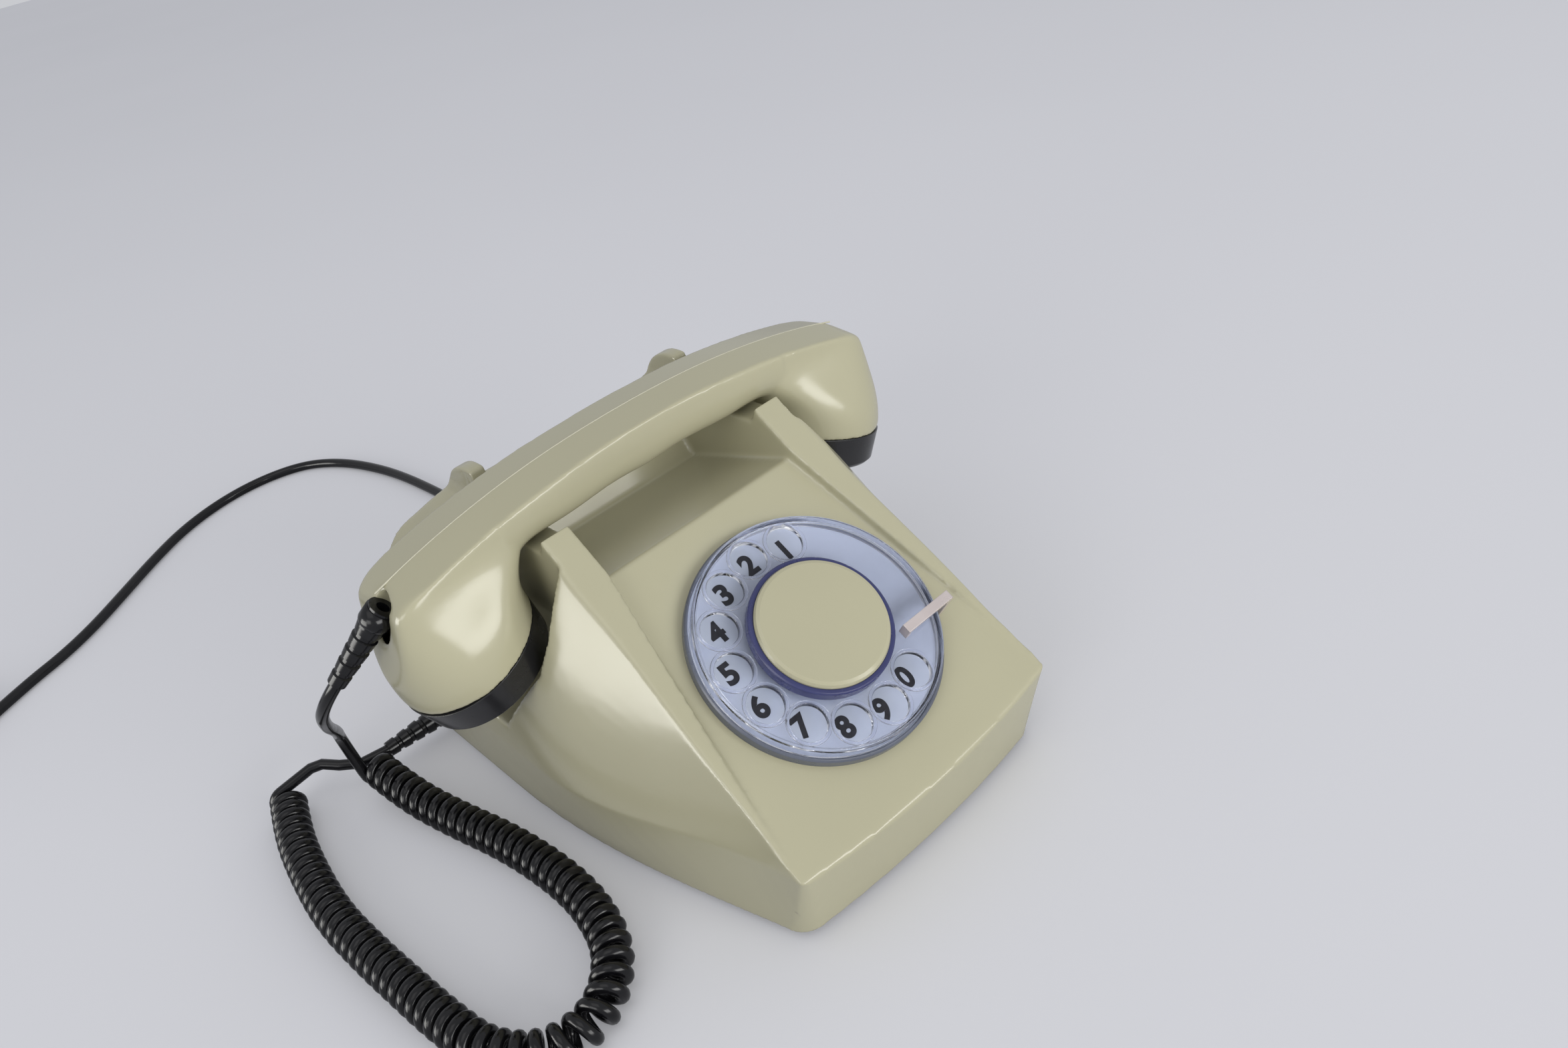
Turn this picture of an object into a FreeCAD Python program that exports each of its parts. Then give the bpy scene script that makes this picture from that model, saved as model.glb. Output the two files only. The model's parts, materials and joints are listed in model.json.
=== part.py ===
"""Cradle telephone with a rotary dial: every piece as its own solid, in millimetres.

X runs to the right of the phone, Y to its back and Z up. The origin is on the table, under the middle of the case.
"""
import FreeCAD, Part
import Sketcher
import math
import os
import re

Vector = FreeCAD.Vector

SIZES = [
    # Case: the lip is the front edge of the sloping panel, the crease is the line where its skirt starts.
    ("lip_y", -100), ("lip_height", 34), ("lip_half_width", 56.3), ("lip_bow", 390),
    ("front_lean", 0.265), ("front_corner", 3),
    ("panel_slope", 35), ("panel_length", 109.2), ("panel_top_half_width", 39.5), ("band_slope", 37.8),
    ("crease_height", 34), ("flank_half_width", 77), ("flank_y", 0),
    ("skirt_front_half_width", 55), ("skirt_rear_half_width", 75.5), ("skirt_bottom", 3),
    ("case_wall", 2.7), ("cheek_curve", 0.0045), ("peak_half_width", 50),
    ("peak_y", 2), ("notch_height", 107.5), ("notch_front_y", 5), ("notch_rear_y", 36),
    ("horn_y", 48.5), ("horn_height", 123.5), ("shoulder_y", 88), ("shoulder_height", 96.5),
    ("rear_y", 103.3), ("post_half_width", 50.5), ("well_rear_y", 46), ("well_height", 82), ("deck_height", 103.5),
    ("pocket_front_y", -6), ("pocket_height", 86), ("pocket_floor", 45), ("pocket_rear_y", 52),
    # Handset: the ridge is the line along the top, the rims are the circles that carry the caps.
    ("handset_y", 21), ("handset_rest", 0.5), ("handle_height", 21.6), ("ridge_end_drop", 14.6),
    ("handset_half_length", 101), ("facet_half_width", 15), ("facet_drop", 1.8), ("handle_half_width", 15.6),
    ("rim_inset", 22.5), ("rim_drop", 26), ("rim_radius", 25.2), ("rim_tilt", 20), ("handset_wall", 2.4),
    ("handset_gap", 0.3),
    ("cap_depth", 12), ("cap_taper", 1.5), ("cap_face", 2.5), ("capsule_radius", 18.5), ("sound_hole_radius", 1.1),
    # Base: plate, feet and screws. Fits: what slides, turns or is pushed in.
    ("plate_thickness", 2.4), ("plate_clearance", 0.3), ("foot_radius", 6.5), ("foot_height", 3),
    ("screw_radius", 1.5), ("screw_head_radius", 3), ("boss_radius", 4),
    ("front_boss_x", 43), ("front_boss_y", -72), ("rear_boss_x", 64), ("rear_boss_y", 84),
    ("running_clearance", 0.05), ("seat_clearance", 0.05),
    # Dial: heights are above the panel, places along the slope start at the lip.
    ("dial_v", 54), ("bezel_radius", 42), ("bezel_height", 4), ("bezel_wall", 1.1), ("dial_opening", 38.5),
    ("dial_tube_depth", 8), ("number_plate_height", 1.9), ("number_plate_thickness", 0.9),
    ("wheel_radius", 40.3), ("wheel_rim_low", 2.6), ("wheel_rim_top", 8.6), ("wheel_plate_low", 5.5),
    ("wheel_plate_thickness", 1.5), ("finger_circle", 31.6), ("finger_hole_radius", 6), ("stop_reach", 7.6),
    ("finger_pitch", 25.5), ("finger_first", 67.5), ("collar_radius", 23.6), ("collar_height", 11),
    ("disc_radius", 21.8), ("disc_height", 13), ("hub_radius", 9), ("shaft_radius", 2.5),
    ("stop_v", -17.8), ("stop_width", 3.2), ("stop_height", 12.2), ("stop_thickness", 1.6), ("stop_tip", 20),
    ("movement_radius", 34), ("front_plate_low", -7.5), ("movement_plate", 1.5), ("back_plate_low", -17),
    ("gear_module", 0.7), ("wheel_teeth", 60), ("pinion_teeth", 12), ("gear_width", 2.2), ("spindle_radius", 1.2),
    ("pillar_radius", 2.2), ("pillar_circle", 29), ("barrel_radius", 12), ("cup_radius", 9), ("weight_radius", 6.5),
    # Hook switch and ringer.
    ("plunger_x", 45), ("plunger_radius", 2.2), ("plunger_foot", 84), ("plunger_show", 0.6), ("plunger_travel", 4),
    ("yoke_pivot_y", 50), ("yoke_pivot_z", 74), ("yoke_rod_radius", 1.8), ("yoke_arm_width", 3),
    ("bracket_x", 21), ("bracket_plate", 1.5),
    ("gong_x", 24.5), ("gong_y", 76), ("gong_radius", 20.5), ("gong_low", 30), ("gong_depth", 12), ("gong_wall", 1.4),
    ("gong_post_radius", 2), ("coil_x", 11), ("coil_y", 70), ("coil_radius", 7), ("coil_height", 18),
    ("clapper_y", 62), ("clapper_ball_radius", 2.4), ("clapper_height", 32.5),
    # Electrical pieces on the board.
    ("board_half_width", 32), ("board_front_y", -66), ("board_rear_y", 8), ("board_height", 11),
    ("board_thickness", 1.6), ("transformer_width", 24), ("transformer_height", 12), ("capacitor_radius", 6),
    ("capacitor_length", 24), ("terminal_length", 40), ("terminal_height", 9),
    # Cords: the wire of the curly cord, its curls, the line cord and its plug.
    ("lead_radius", 2.1), ("curl_radius", 4.8), ("curl_gap", 0.7), ("line_radius", 2.5),
    ("relief_radius", 4.6), ("relief_tip_radius", 3), ("relief_length", 27),
    ("side_exit_y", 96), ("side_exit_z", 10.4), ("rear_exit_x", 10), ("rear_exit_z", 12),
    ("hank_radius", 38), ("hank_pitch", 6), ("hank_layer", 5.7), ("hank_loops", 7.25),
    ("plug_length", 38), ("plug_width", 24), ("plug_height", 14),
]

doc = FreeCAD.newDocument("telephone")
sheet = doc.addObject("Spreadsheet::Sheet", "sizes")


def load_sizes():
    """Write each size and its name in the sheet, so that the model follows the sheet's cells."""
    for row, (name, value) in enumerate(SIZES, 1):
        sheet.set("A%d" % row, name)
        sheet.set("B%d" % row, str(value))
        sheet.setAlias("B%d" % row, name)
    sheet.recompute()


def size(name):
    return float(sheet.get(name))


def number(expression):
    """What an expression of the sheet's names comes to."""
    sheet.set("D1", "=" + expression)
    sheet.recompute()
    return float(sheet.get("D1"))


def bound(expression):
    """The same expression, as objects other than the sheet write it."""
    return re.sub(r"[a-z]+_\w+", lambda match: "sizes." + match.group(), expression)


def feature(label, shape, place=None):
    """A piece whose form only Part functions give."""
    piece = doc.addObject("Part::Feature", label)
    piece.Shape = shape
    seat(piece, place)
    return piece


def seat(piece, place):
    """Bind a piece's placement: the expressions of X, Y and Z, then an axis and the expression of its angle."""
    if not place:
        return
    x, y, z, axis, angle = place
    piece.Placement = FreeCAD.Placement(Vector(number(x), number(y), number(z)),
                                        FreeCAD.Rotation(Vector(*axis), number(angle)))
    for name, expression in zip("xyz", (x, y, z)):
        piece.setExpression("Placement.Base." + name, bound(expression))
    piece.setExpression("Placement.Rotation.Angle", bound(angle))


def sketch_on(body, role, name):
    sketch = body.newObject("Sketcher::SketchObject", name)
    base = next(o for o in body.Origin.OriginFeatures if o.Role == role)
    sketch.AttachmentSupport = [(base, "")]
    sketch.MapMode = "FlatFace"
    return sketch


def outline(sketch, corners):
    """Draw a closed outline whose corners follow the sheet."""
    points = [Vector(number(x), number(y), 0) for x, y in corners]
    count = len(points)
    for i in range(count):
        sketch.addGeometry(Part.LineSegment(points[i], points[(i + 1) % count]), False)
    for i in range(count):
        sketch.addConstraint(Sketcher.Constraint("Coincident", i, 2, (i + 1) % count, 1))
    for i, (corner, point) in enumerate(zip(corners, points)):
        for kind, expression, value, axis in (("DistanceX", corner[0], point.x, -2),
                                              ("DistanceY", corner[1], point.y, -1)):
            if abs(value) < 1e-9:
                sketch.addConstraint(Sketcher.Constraint("PointOnObject", i, 1, axis))
            else:
                row = sketch.addConstraint(Sketcher.Constraint(kind, -1, 1, i, 1, value))
                sketch.setExpression("Constraints[%d]" % row, bound(expression))


def circle(sketch, x, y, radius):
    """Draw a circle whose centre and radius follow the sheet."""
    index = sketch.addGeometry(Part.Circle(Vector(number(x), number(y), 0), Vector(0, 0, 1), number(radius)), False)
    row = sketch.addConstraint(Sketcher.Constraint("Radius", index, number(radius)))
    sketch.setExpression("Constraints[%d]" % row, bound(radius))
    for kind, expression, axis in (("DistanceX", x, -2), ("DistanceY", y, -1)):
        value = number(expression)
        if abs(value) < 1e-9:
            sketch.addConstraint(Sketcher.Constraint("PointOnObject", index, 3, axis))
        else:
            row = sketch.addConstraint(Sketcher.Constraint(kind, -1, 1, index, 3, value))
            sketch.setExpression("Constraints[%d]" % row, bound(expression))


def revolved(label, profile, place=None):
    """A turned piece: an outline of radius and height about Z."""
    body = doc.addObject("PartDesign::Body", label)
    sketch = sketch_on(body, "XZ_Plane", label + "_profile")
    outline(sketch, profile)
    turned = body.newObject("PartDesign::Revolution", label + "_turned")
    turned.Profile = sketch
    turned.ReferenceAxis = (sketch, ["V_Axis"])
    turned.Angle = 360
    seat(body, place)
    return body


def padded(label, corners, low, height, place=None):
    """A plate or block: an outline in X and Y, raised from a level."""
    body = doc.addObject("PartDesign::Body", label)
    sketch = sketch_on(body, "XY_Plane", label + "_outline")
    outline(sketch, corners)
    raise_from(sketch, low)
    pad = body.newObject("PartDesign::Pad", label + "_pad")
    pad.Profile = sketch
    pad.setExpression("Length", bound(height))
    seat(body, place)
    return body


def raise_from(sketch, low):
    sketch.setExpression("AttachmentOffset.Base.z", bound(low))


def drilled(body, x, y, radius, name):
    """Holes right through a body along Z; further ones come from a pattern of this pocket."""
    sketch = sketch_on(body, "XY_Plane", name + "_circle")
    circle(sketch, x, y, radius)
    pocket = body.newObject("PartDesign::Pocket", name)
    pocket.Profile = sketch
    pocket.Midplane = True
    pocket.Length = 80
    return pocket


def around(body, source, name, count, angle):
    """Copies of a pocket or pad about Z."""
    pattern = body.newObject("PartDesign::PolarPattern", name)
    pattern.Originals = [source]
    pattern.Axis = (next(o for o in body.Origin.OriginFeatures if o.Role == "Z_Axis"), [""])
    pattern.Occurrences = count
    pattern.setExpression("Angle", bound(angle))
    body.Tip = pattern
    return pattern


def block(x, y):
    """The corners of a rectangle, from its ranges in X and Y."""
    return [(x[0], y[0]), (x[1], y[0]), (x[1], y[1]), (x[0], y[1])]


def box(x0, x1, y0, y1, z0, z1):
    return Part.makeBox(x1 - x0, y1 - y0, z1 - z0, Vector(x0, y0, z0))


def side_prism(points, x0, x1):
    """A prism along X from an outline in Y and Z."""
    wire = Part.makePolygon([Vector(x0, y, z) for y, z in points + points[:1]])
    return Part.Face(wire).extrude(Vector(x1 - x0, 0, 0))


def smooth(t):
    t = min(max(t, 0.0), 1.0)
    return t * t * (3 - 2 * t)


def panel_frame(u, v, n):
    """A point of the dial panel: u across, v up the slope from the lip, n out of it."""
    slope = math.radians(size("panel_slope"))
    y = size("lip_y") + v * math.cos(slope) - n * math.sin(slope)
    z = size("lip_height") + v * math.sin(slope) + n * math.cos(slope)
    return Vector(u, y, z)


def crease_half_width(y):
    share = smooth((y - size("lip_y")) / (size("flank_y") - size("lip_y")))
    return size("lip_half_width") + share * (size("flank_half_width") - size("lip_half_width"))


def skirt_half_width(y):
    start = size("lip_y") + 10
    share = min(max((y - start) / (size("flank_y") + 40 - start), 0.0), 1.0)
    width = size("skirt_rear_half_width") - size("skirt_front_half_width")
    return size("skirt_front_half_width") + width * math.sin(share * math.pi / 2)


def cheek_lean(y):
    """How far the cheek leans in at its foot, so that its top edge runs straight from the lip to the peak."""
    at = min(max(y, size("lip_y") + 8), size("flank_y"))
    share = (at - size("lip_y")) / (size("flank_y") - size("lip_y"))
    edge = size("lip_half_width") + share * (size("peak_half_width") - size("lip_half_width"))
    rise = (at - size("lip_y")) * math.tan(math.radians(size("band_slope")))
    return max((crease_half_width(at) - edge) / rise - size("cheek_curve") * rise, 0.0)


def case_section(y, inset):
    """The case across at y: skirt, crease, convex cheek and the upright side of the handset posts."""
    crease, skirt = crease_half_width(y) - inset, skirt_half_width(y) - inset
    lean, curve, post = cheek_lean(y), size("cheek_curve"), size("post_half_width") + 0.5 - inset
    rise = (-lean + math.sqrt(lean ** 2 + 4 * curve * (crease - post))) / (2 * curve)
    low, mid = size("skirt_bottom"), size("crease_height")
    slope = (crease - skirt) / (mid - low)
    foot = low - 8.0
    top = size("horn_height") + 15.0
    right = [Vector(skirt - slope * 8.0, y, foot), Vector(crease, y, mid),
             Vector(crease - lean * rise / 2, y, mid + rise / 2), Vector(post, y, mid + rise),
             Vector(post, y, top)]
    left = [Vector(-p.x, p.y, p.z) for p in right]
    edges = []
    for side in (right, left):
        cheek = Part.BezierCurve()
        cheek.setPoles(side[1:4])
        run = [Part.LineSegment(side[0], side[1]).toShape(), cheek.toShape(),
               Part.LineSegment(side[3], side[4]).toShape()]
        edges.append(run)
    bottom = Part.LineSegment(left[0], right[0]).toShape()
    lid = Part.LineSegment(right[4], left[4]).toShape()
    return Part.Wire([bottom] + edges[0] + [lid] + edges[1][::-1])


def case_profile(inset):
    """The case from the side, with the cradle's notch and horns, as a face in the middle plane."""
    tan = math.tan(math.radians(size("band_slope")))
    front = size("lip_y") - 15
    peak = size("lip_height") + (size("peak_y") - size("lip_y")) * tan
    notch, horn_y, horn = size("notch_height"), size("horn_y"), size("horn_height")
    shoulder_y, shoulder = size("shoulder_y"), size("shoulder_height")
    rear, low, mid = size("rear_y"), size("skirt_bottom"), size("crease_height")
    point = lambda y, z: Vector(0, y, z)
    a = point(front, low - 6 * (inset > 0))
    b = point(front, size("lip_height") - 15 * tan)
    c = point(size("peak_y"), peak)
    d = point(size("notch_front_y"), notch)
    e = point(size("notch_rear_y"), notch)
    f = point(horn_y - 3.5, horn - 0.8)
    g = point(horn_y + 18, horn - 11.5)
    h = point(shoulder_y, shoulder)
    i = point(rear - 3, shoulder - 18)
    j = point(rear, mid)
    k = point(rear - 2, low - 6 * (inset > 0))
    line = lambda p, q: Part.LineSegment(p, q).toShape()
    arc = lambda p, via, q: Part.Arc(p, via, q).toShape()
    rise = arc(e, point((e.y + f.y) / 2 + 1.5, (e.z + f.z) / 2 - 1.0), f)
    crown = arc(f, point(horn_y + 8, horn - 2.2), g)
    back = arc(h, point(rear - 8, shoulder - 7.5), i)
    wire = Part.Wire([line(a, b), line(b, c), line(c, d), line(d, e), rise, crown, line(g, h), back,
                      line(i, j), line(j, k), line(k, a)])
    face = Part.Face(wire)
    return face.makeOffset2D(-inset, 2) if inset else face


def front_waste(inset):
    """What the leaning, bowed front wall cuts away."""
    bow, lean = size("lip_bow"), size("front_lean")
    height = size("lip_height") + 30
    y0 = size("lip_y") - 4 + inset + lean * (size("lip_height") + 5)
    sag = 120 ** 2 / (2 * bow)
    low = -5.0
    arc = Part.Arc(Vector(-120, y0 + sag, low), Vector(0, y0, low), Vector(120, y0 + sag, low)).toShape()
    far = y0 - 80
    outline = Part.Wire([arc] + [Part.LineSegment(p, q).toShape() for p, q in (
        (Vector(120, y0 + sag, low), Vector(120, far, low)), (Vector(120, far, low), Vector(-120, far, low)),
        (Vector(-120, far, low), Vector(-120, y0 + sag, low)))])
    return Part.Face(outline).extrude(Vector(0, -lean * height, height))


def panel_waste(inset):
    """The space over the dial panel, between the two raised bands."""
    lip, top, length = size("lip_half_width") - 0.3, size("panel_top_half_width"), size("panel_length")
    widen = (lip - top) / length
    points = [(lip + 30 * widen + inset, -30), (top + inset, length), (top + inset, length + 70)]
    outline = [panel_frame(u, v, -inset) for u, v in points]
    outline += [panel_frame(-u, v, -inset) for u, v in reversed(points)]
    return Part.Face(Part.makePolygon(outline + outline[:1])).extrude(panel_frame(0, 0, 70) - panel_frame(0, 0, 0))


def well_waste(inset):
    """The finger space under the handle, behind the panel."""
    edge = panel_frame(0, size("panel_length"), 0)
    rear, floor = size("well_rear_y"), size("well_height")
    half = size("panel_top_half_width") + inset
    deck = size("deck_height") - inset
    points = [(edge.y - inset, edge.z - inset * 1.2), (rear, floor - inset),
              (rear + (deck + inset - floor) * 0.5 + inset, deck), (130, deck), (130, 160), (edge.y - inset, 160)]
    return side_prism(points, -half, half)


def pocket_waste(inset, side):
    """The recess beside a post, where the cap of the handset hangs."""
    front, height, floor, rear = (size(n) for n in ("pocket_front_y", "pocket_height", "pocket_floor", "pocket_rear_y"))
    middle = (front + rear) / 2
    points = [(front - inset, 160), (front - inset, height - inset / 2), (front + 3 - inset, height - 12 - inset / 2),
              (middle - inset / 2, floor - inset), (middle + 6 + inset / 2, floor - inset),
              (rear + inset, height - 12 - inset / 2), (rear + inset, 160)]
    inner = size("post_half_width") - inset
    return side_prism(points, side * inner, side * 140)


def case_solid(inset):
    """The case's outer form (inset 0) or its inner space (inset of a wall)."""
    first, last, count = size("lip_y") - 14, size("rear_y") + 6, 11
    stations = [first + (last - first) * i / (count - 1) for i in range(count)]
    body = Part.makeLoft([case_section(y, inset) for y in stations], True, False)
    profile = case_profile(inset)
    profile.translate(Vector(-100, 0, 0))
    body = body.common(profile.extrude(Vector(200, 0, 0)))
    body = body.cut(front_waste(inset))
    for waste in (panel_waste(inset), well_waste(inset), pocket_waste(inset, 1), pocket_waste(inset, -1)):
        body = body.cut(waste)
    return body.removeSplitter().Solids[0]



def handle_bottom():
    return size("notch_height") + size("handset_rest")


def ridge_end():
    return handle_bottom() + size("handle_height") - size("ridge_end_drop")


def rim_height():
    return handle_bottom() - size("rim_drop")


def rim_x():
    return size("handset_half_length") - size("rim_inset")


def ridge(x):
    """Height of the handset's ridge: a flat arch that drops a little more at its ends."""
    share = min(abs(x) / size("handset_half_length"), 1.2)
    return handle_bottom() + size("handle_height") - size("ridge_end_drop") * share ** 2.2


def roof_solid(drop, half, low):
    """The space under the two facets of the handset's back, lowered by drop."""
    count, reach = 8, size("facet_half_width") * 2
    fall = size("facet_drop") * 2
    y0 = size("handset_y")
    sections = []
    for y, lower in ((y0 - reach, fall), (y0, 0.0), (y0 + reach, fall)):
        tops = [Vector(x, y, ridge(x) - lower - drop) for x in (half * (2.0 * i / count - 1) for i in range(count + 1))]
        curve = Part.BSplineCurve()
        curve.interpolate(tops)
        ends = [Vector(half, y, low), Vector(-half, y, low)]
        rim = Part.makePolygon([tops[-1]] + ends + [tops[0]])
        sections.append(Part.Wire([curve.toShape()] + rim.Edges))
    front = Part.makeLoft(sections[:2], True, True)
    back = Part.makeLoft(sections[1:], True, True)
    return front.fuse(back)


def handle_section(x, half, low):
    """The handle across at x: a rounded tray shape, open to the roof that cuts it."""
    y0, top = size("handset_y"), handle_bottom() + size("handle_height") + 6
    shoulder = max(ridge(x) - 3.5, low + 6)
    mid = low + (shoulder - low) * 0.35
    tuck = 0.62
    p = [Vector(x, y0 + half * 0.96, top), Vector(x, y0 + half, shoulder), Vector(x, y0 + half * 0.93, mid),
         Vector(x, y0 + half * tuck, low), Vector(x, y0, low - 0.4)]
    q = [Vector(v.x, 2 * y0 - v.y, v.z) for v in p]
    edges = [Part.LineSegment(q[0], p[0]).toShape(), Part.LineSegment(p[0], p[1]).toShape()]
    right, left = Part.BezierCurve(), Part.BezierCurve()
    right.setPoles([p[1], Vector(x, y0 + half * 1.0, mid - 2), Vector(x, y0 + half * 0.75, low), p[4]])
    left.setPoles([p[4], Vector(x, y0 - half * 0.75, low), Vector(x, y0 - half * 1.0, mid - 2), q[1]])
    edges += [right.toShape(), left.toShape(), Part.LineSegment(q[1], q[0]).toShape()]
    return Part.Wire(edges)


def rim_place(side):
    """The placement of a rim: local Z is the cap's axis, pointing up and out of the cap."""
    turn = FreeCAD.Rotation(Vector(0, 1, 0), side * size("rim_tilt"))
    return FreeCAD.Placement(Vector(side * rim_x(), size("handset_y"), rim_height()), turn)


def bulb_ring(side, x, z, tilt, half_x, half_y, power):
    """A closed curve across one end of the handset: a circle at the rim that squares off towards the back."""
    turn, points = math.radians(tilt), []
    for i in range(20):
        a = 2 * math.pi * i / 20
        c, s = math.cos(a), math.sin(a)
        u = half_x * math.copysign(abs(c) ** (2 / power), c)
        v = half_y * math.copysign(abs(s) ** (2 / power), s)
        points.append(Vector(side * (x + u * math.cos(turn)), size("handset_y") + v, z - u * math.sin(turn)))
    curve = Part.BSplineCurve()
    curve.interpolate(points, PeriodicFlag=True)
    return Part.Wire([curve.toShape()])


def bulb_solid(side):
    """One end of the handset, lofted from the rim's circle to the rounded block behind the facets."""
    x, z, r, tilt = rim_x(), rim_height(), size("rim_radius"), size("rim_tilt")
    lean = math.radians(tilt)
    half = size("facet_half_width")
    rings = [(x - math.sin(lean), z - math.cos(lean), tilt, r, r, 2), (x + 1.4, z + 7, tilt - 2, r + 0.2, r + 0.1, 2.05),
             (x + 1.2, z + 16, tilt - 7, r + 0.2, half + 8, 2.3), (x - 0.7, z + 25, tilt - 14, r + 0.7, half + 3.8, 3),
             (x - 2.3, z + 33, 0, r + 1.7, half + 1.2, 4), (x - 2.6, z + 44, 0, r + 1.7, half + 0.8, 4.5)]
    return Part.makeLoft([bulb_ring(side, *ring) for ring in rings], True, False)


def below_rims():
    """The space under both rim planes, where the caps are."""
    under = []
    for side in (-1, 1):
        block = box(-34, 34, -60, 60, -90, 0)
        block.Placement = rim_place(side)
        under.append(block)
    return under[0].fuse(under[1])


def end_waste(side):
    """What the slanting end face cuts off an end."""
    half, top, low = size("handset_half_length"), ridge_end(), rim_height()
    points = [(half - 3.4, 150), (half - 3, top + 3), (half + 3.6, low + 4), (half + 5, 40), (140, 40), (140, 150)]
    outline = [Vector(side * x, size("handset_y") - 50, z) for x, z in points]
    return Part.Face(Part.makePolygon(outline + outline[:1])).extrude(Vector(0, 100, 0))


def handset_solid():
    """The handset's outer form: the handle and both ends under the two facets of its back."""
    half, low = size("handle_half_width"), handle_bottom()
    join = rim_x() - size("rim_radius")
    spans = [(join + 6, half + 0.2, low - 6.5), (join - 0.8, half, low - 0.3), (join - 8, half, low + 0.9),
             (join - 24, half - 0.4, low + 0.9)]
    sections = [(-x, w, z) for x, w, z in spans] + [(0, half - 1.0, low + 1)] + spans[::-1]
    body = Part.makeLoft([handle_section(x, w, z) for x, w, z in sections], True, False)
    body = body.fuse([bulb_solid(-1), bulb_solid(1)])
    body = body.cut(below_rims()).common(roof_solid(0, size("handset_half_length") + 8, 40))
    for side in (-1, 1):
        body = body.cut(end_waste(side))
    return body.removeSplitter()


def handset_hollow():
    """The handset's inner space: a tapered chamber over each cap and a channel through the handle for the wires."""
    y, low = size("handset_y"), handle_bottom() + 3.2
    points = [(-8, low), (8, low), (11.5, low + 4), (11.5, low + 6.5), (-11.5, low + 6.5), (-11.5, low + 4)]
    wire = Part.makePolygon([Vector(-rim_x(), y + u, z) for u, z in points + points[:1]])
    hollow = Part.Face(wire).extrude(Vector(2 * rim_x(), 0, 0))
    for side in (-1, 1):
        bore = size("rim_radius") - size("handset_wall")
        chamber = Part.makeCylinder(bore, 5).fuse(Part.makeCone(bore, 12, 24, Vector(0, 0, 5)))
        chamber.Placement = rim_place(side)
        hollow = hollow.fuse(chamber)
    return hollow


DIAL = ("0", "lip_y + dial_v * cos(panel_slope * 1deg)", "lip_height + dial_v * sin(panel_slope * 1deg)",
        (1, 0, 0), "panel_slope")
RIM = ("handset_half_length - rim_inset", "notch_height + handset_rest - rim_drop")
RIMS = {-1: ("-(" + RIM[0] + ")", "handset_y", RIM[1], (0, 1, 0), "-rim_tilt"),
        1: (RIM[0], "handset_y", RIM[1], (0, 1, 0), "rim_tilt")}
SIDE_EXIT = ("-skirt_rear_half_width + case_wall", "side_exit_y", "side_exit_z", (0, 1, 0), "-90")
REAR_EXIT = ("rear_exit_x", "rear_y - case_wall - 1.2", "rear_exit_z", (1, 0, 0), "-90")


def dial_place():
    turn = FreeCAD.Rotation(Vector(1, 0, 0), size("panel_slope"))
    return FreeCAD.Placement(panel_frame(0, size("dial_v"), 0), turn)


def round_bar(radius, start, end):
    return Part.makeCylinder(radius, (end - start).Length, start, end - start)


def handset_exit():
    """Where the cord leaves the handset's left end, and the way it points."""
    half, y = size("handset_half_length"), size("handset_y")
    return Vector(-half + 1.4, y - 1.2, ridge_end() - 5.5), Vector(-17.6, 10.4, -19.2).normalize()


def boss_places():
    return [(side * size(x), size(y)) for x, y in (("front_boss_x", "front_boss_y"), ("rear_boss_x", "rear_boss_y"))
            for side in (-1, 1)]


def build_case():
    """The moulded case: an open shell with screw bosses, the dial's opening and the holes of plungers and cords."""
    outer, wall = case_solid(0.0), size("case_wall")
    shell = outer.cut(case_solid(wall))
    clear, plate_top = size("running_clearance"), size("skirt_bottom") + size("plate_thickness")
    for x, y in boss_places():
        column = Part.makeCylinder(size("boss_radius"), 120, Vector(x, y, plate_top)).common(outer)
        shell = shell.fuse(column)
    for x, y in boss_places():
        shell = shell.cut(Part.makeCylinder(size("screw_radius") + clear, 22, Vector(x, y, 0)))
    opening = Part.makeCylinder(size("dial_opening") + size("seat_clearance"), 20, Vector(0, 0, -14))
    opening.Placement = dial_place()
    shell = shell.cut(opening)
    for side in (-1, 1):
        hole = Part.makeCylinder(size("plunger_radius") + clear, 40,
                                 Vector(side * size("plunger_x"), size("handset_y"), size("notch_height") - 30))
        shell = shell.cut(hole)
    hole = size("relief_radius") + size("seat_clearance")
    shell = shell.cut(round_bar(hole, Vector(-90, size("side_exit_y"), size("side_exit_z")),
                                Vector(-60, size("side_exit_y"), size("side_exit_z"))))
    shell = shell.cut(round_bar(hole, Vector(size("rear_exit_x"), 90, size("rear_exit_z")),
                                Vector(size("rear_exit_x"), 115, size("rear_exit_z"))))
    feature("housing", shell.removeSplitter())


def build_base():
    """The base plate inside the skirt, with slots for the ringer, on four feet and held by four screws."""
    low, thick = size("skirt_bottom"), size("plate_thickness")
    slab = box(-90, 90, -120, 120, low, low + thick)
    plate = case_solid(size("case_wall") + size("plate_clearance")).common(slab)
    for i in range(5):
        x = (i - 2) * 9.0
        slot = box(x - 1.5, x + 1.5, size("gong_y") - 14, size("gong_y") + 10, low - 1, low + thick + 1)
        plate = plate.cut(slot)
    for x, y in boss_places():
        plate = plate.cut(Part.makeCylinder(size("screw_radius") + 0.3, 20, Vector(x, y, 0)))
    feature("base_plate", plate)
    feet = []
    for x, y in boss_places():
        step = 15 if y > 0 else -15
        centre = Vector(x * 0.9, y - step, 0)
        foot = Part.makeCylinder(size("foot_radius"), size("foot_height"), centre)
        foot = foot.makeChamfer(0.6, [e for e in foot.Edges if e.BoundBox.ZMax < 0.1 and len(e.Vertexes) == 1])
        feet.append(foot)
    feature("feet", Part.makeCompound(feet))
    screws = []
    for x, y in boss_places():
        head = Part.makeCylinder(size("screw_head_radius"), 1.6, Vector(x, y, low - 1.6))
        screws.append(head.fuse(Part.makeCylinder(size("screw_radius"), 20, Vector(x, y, low - 1.6))))
    feature("base_screws", Part.makeCompound(screws))


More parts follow.
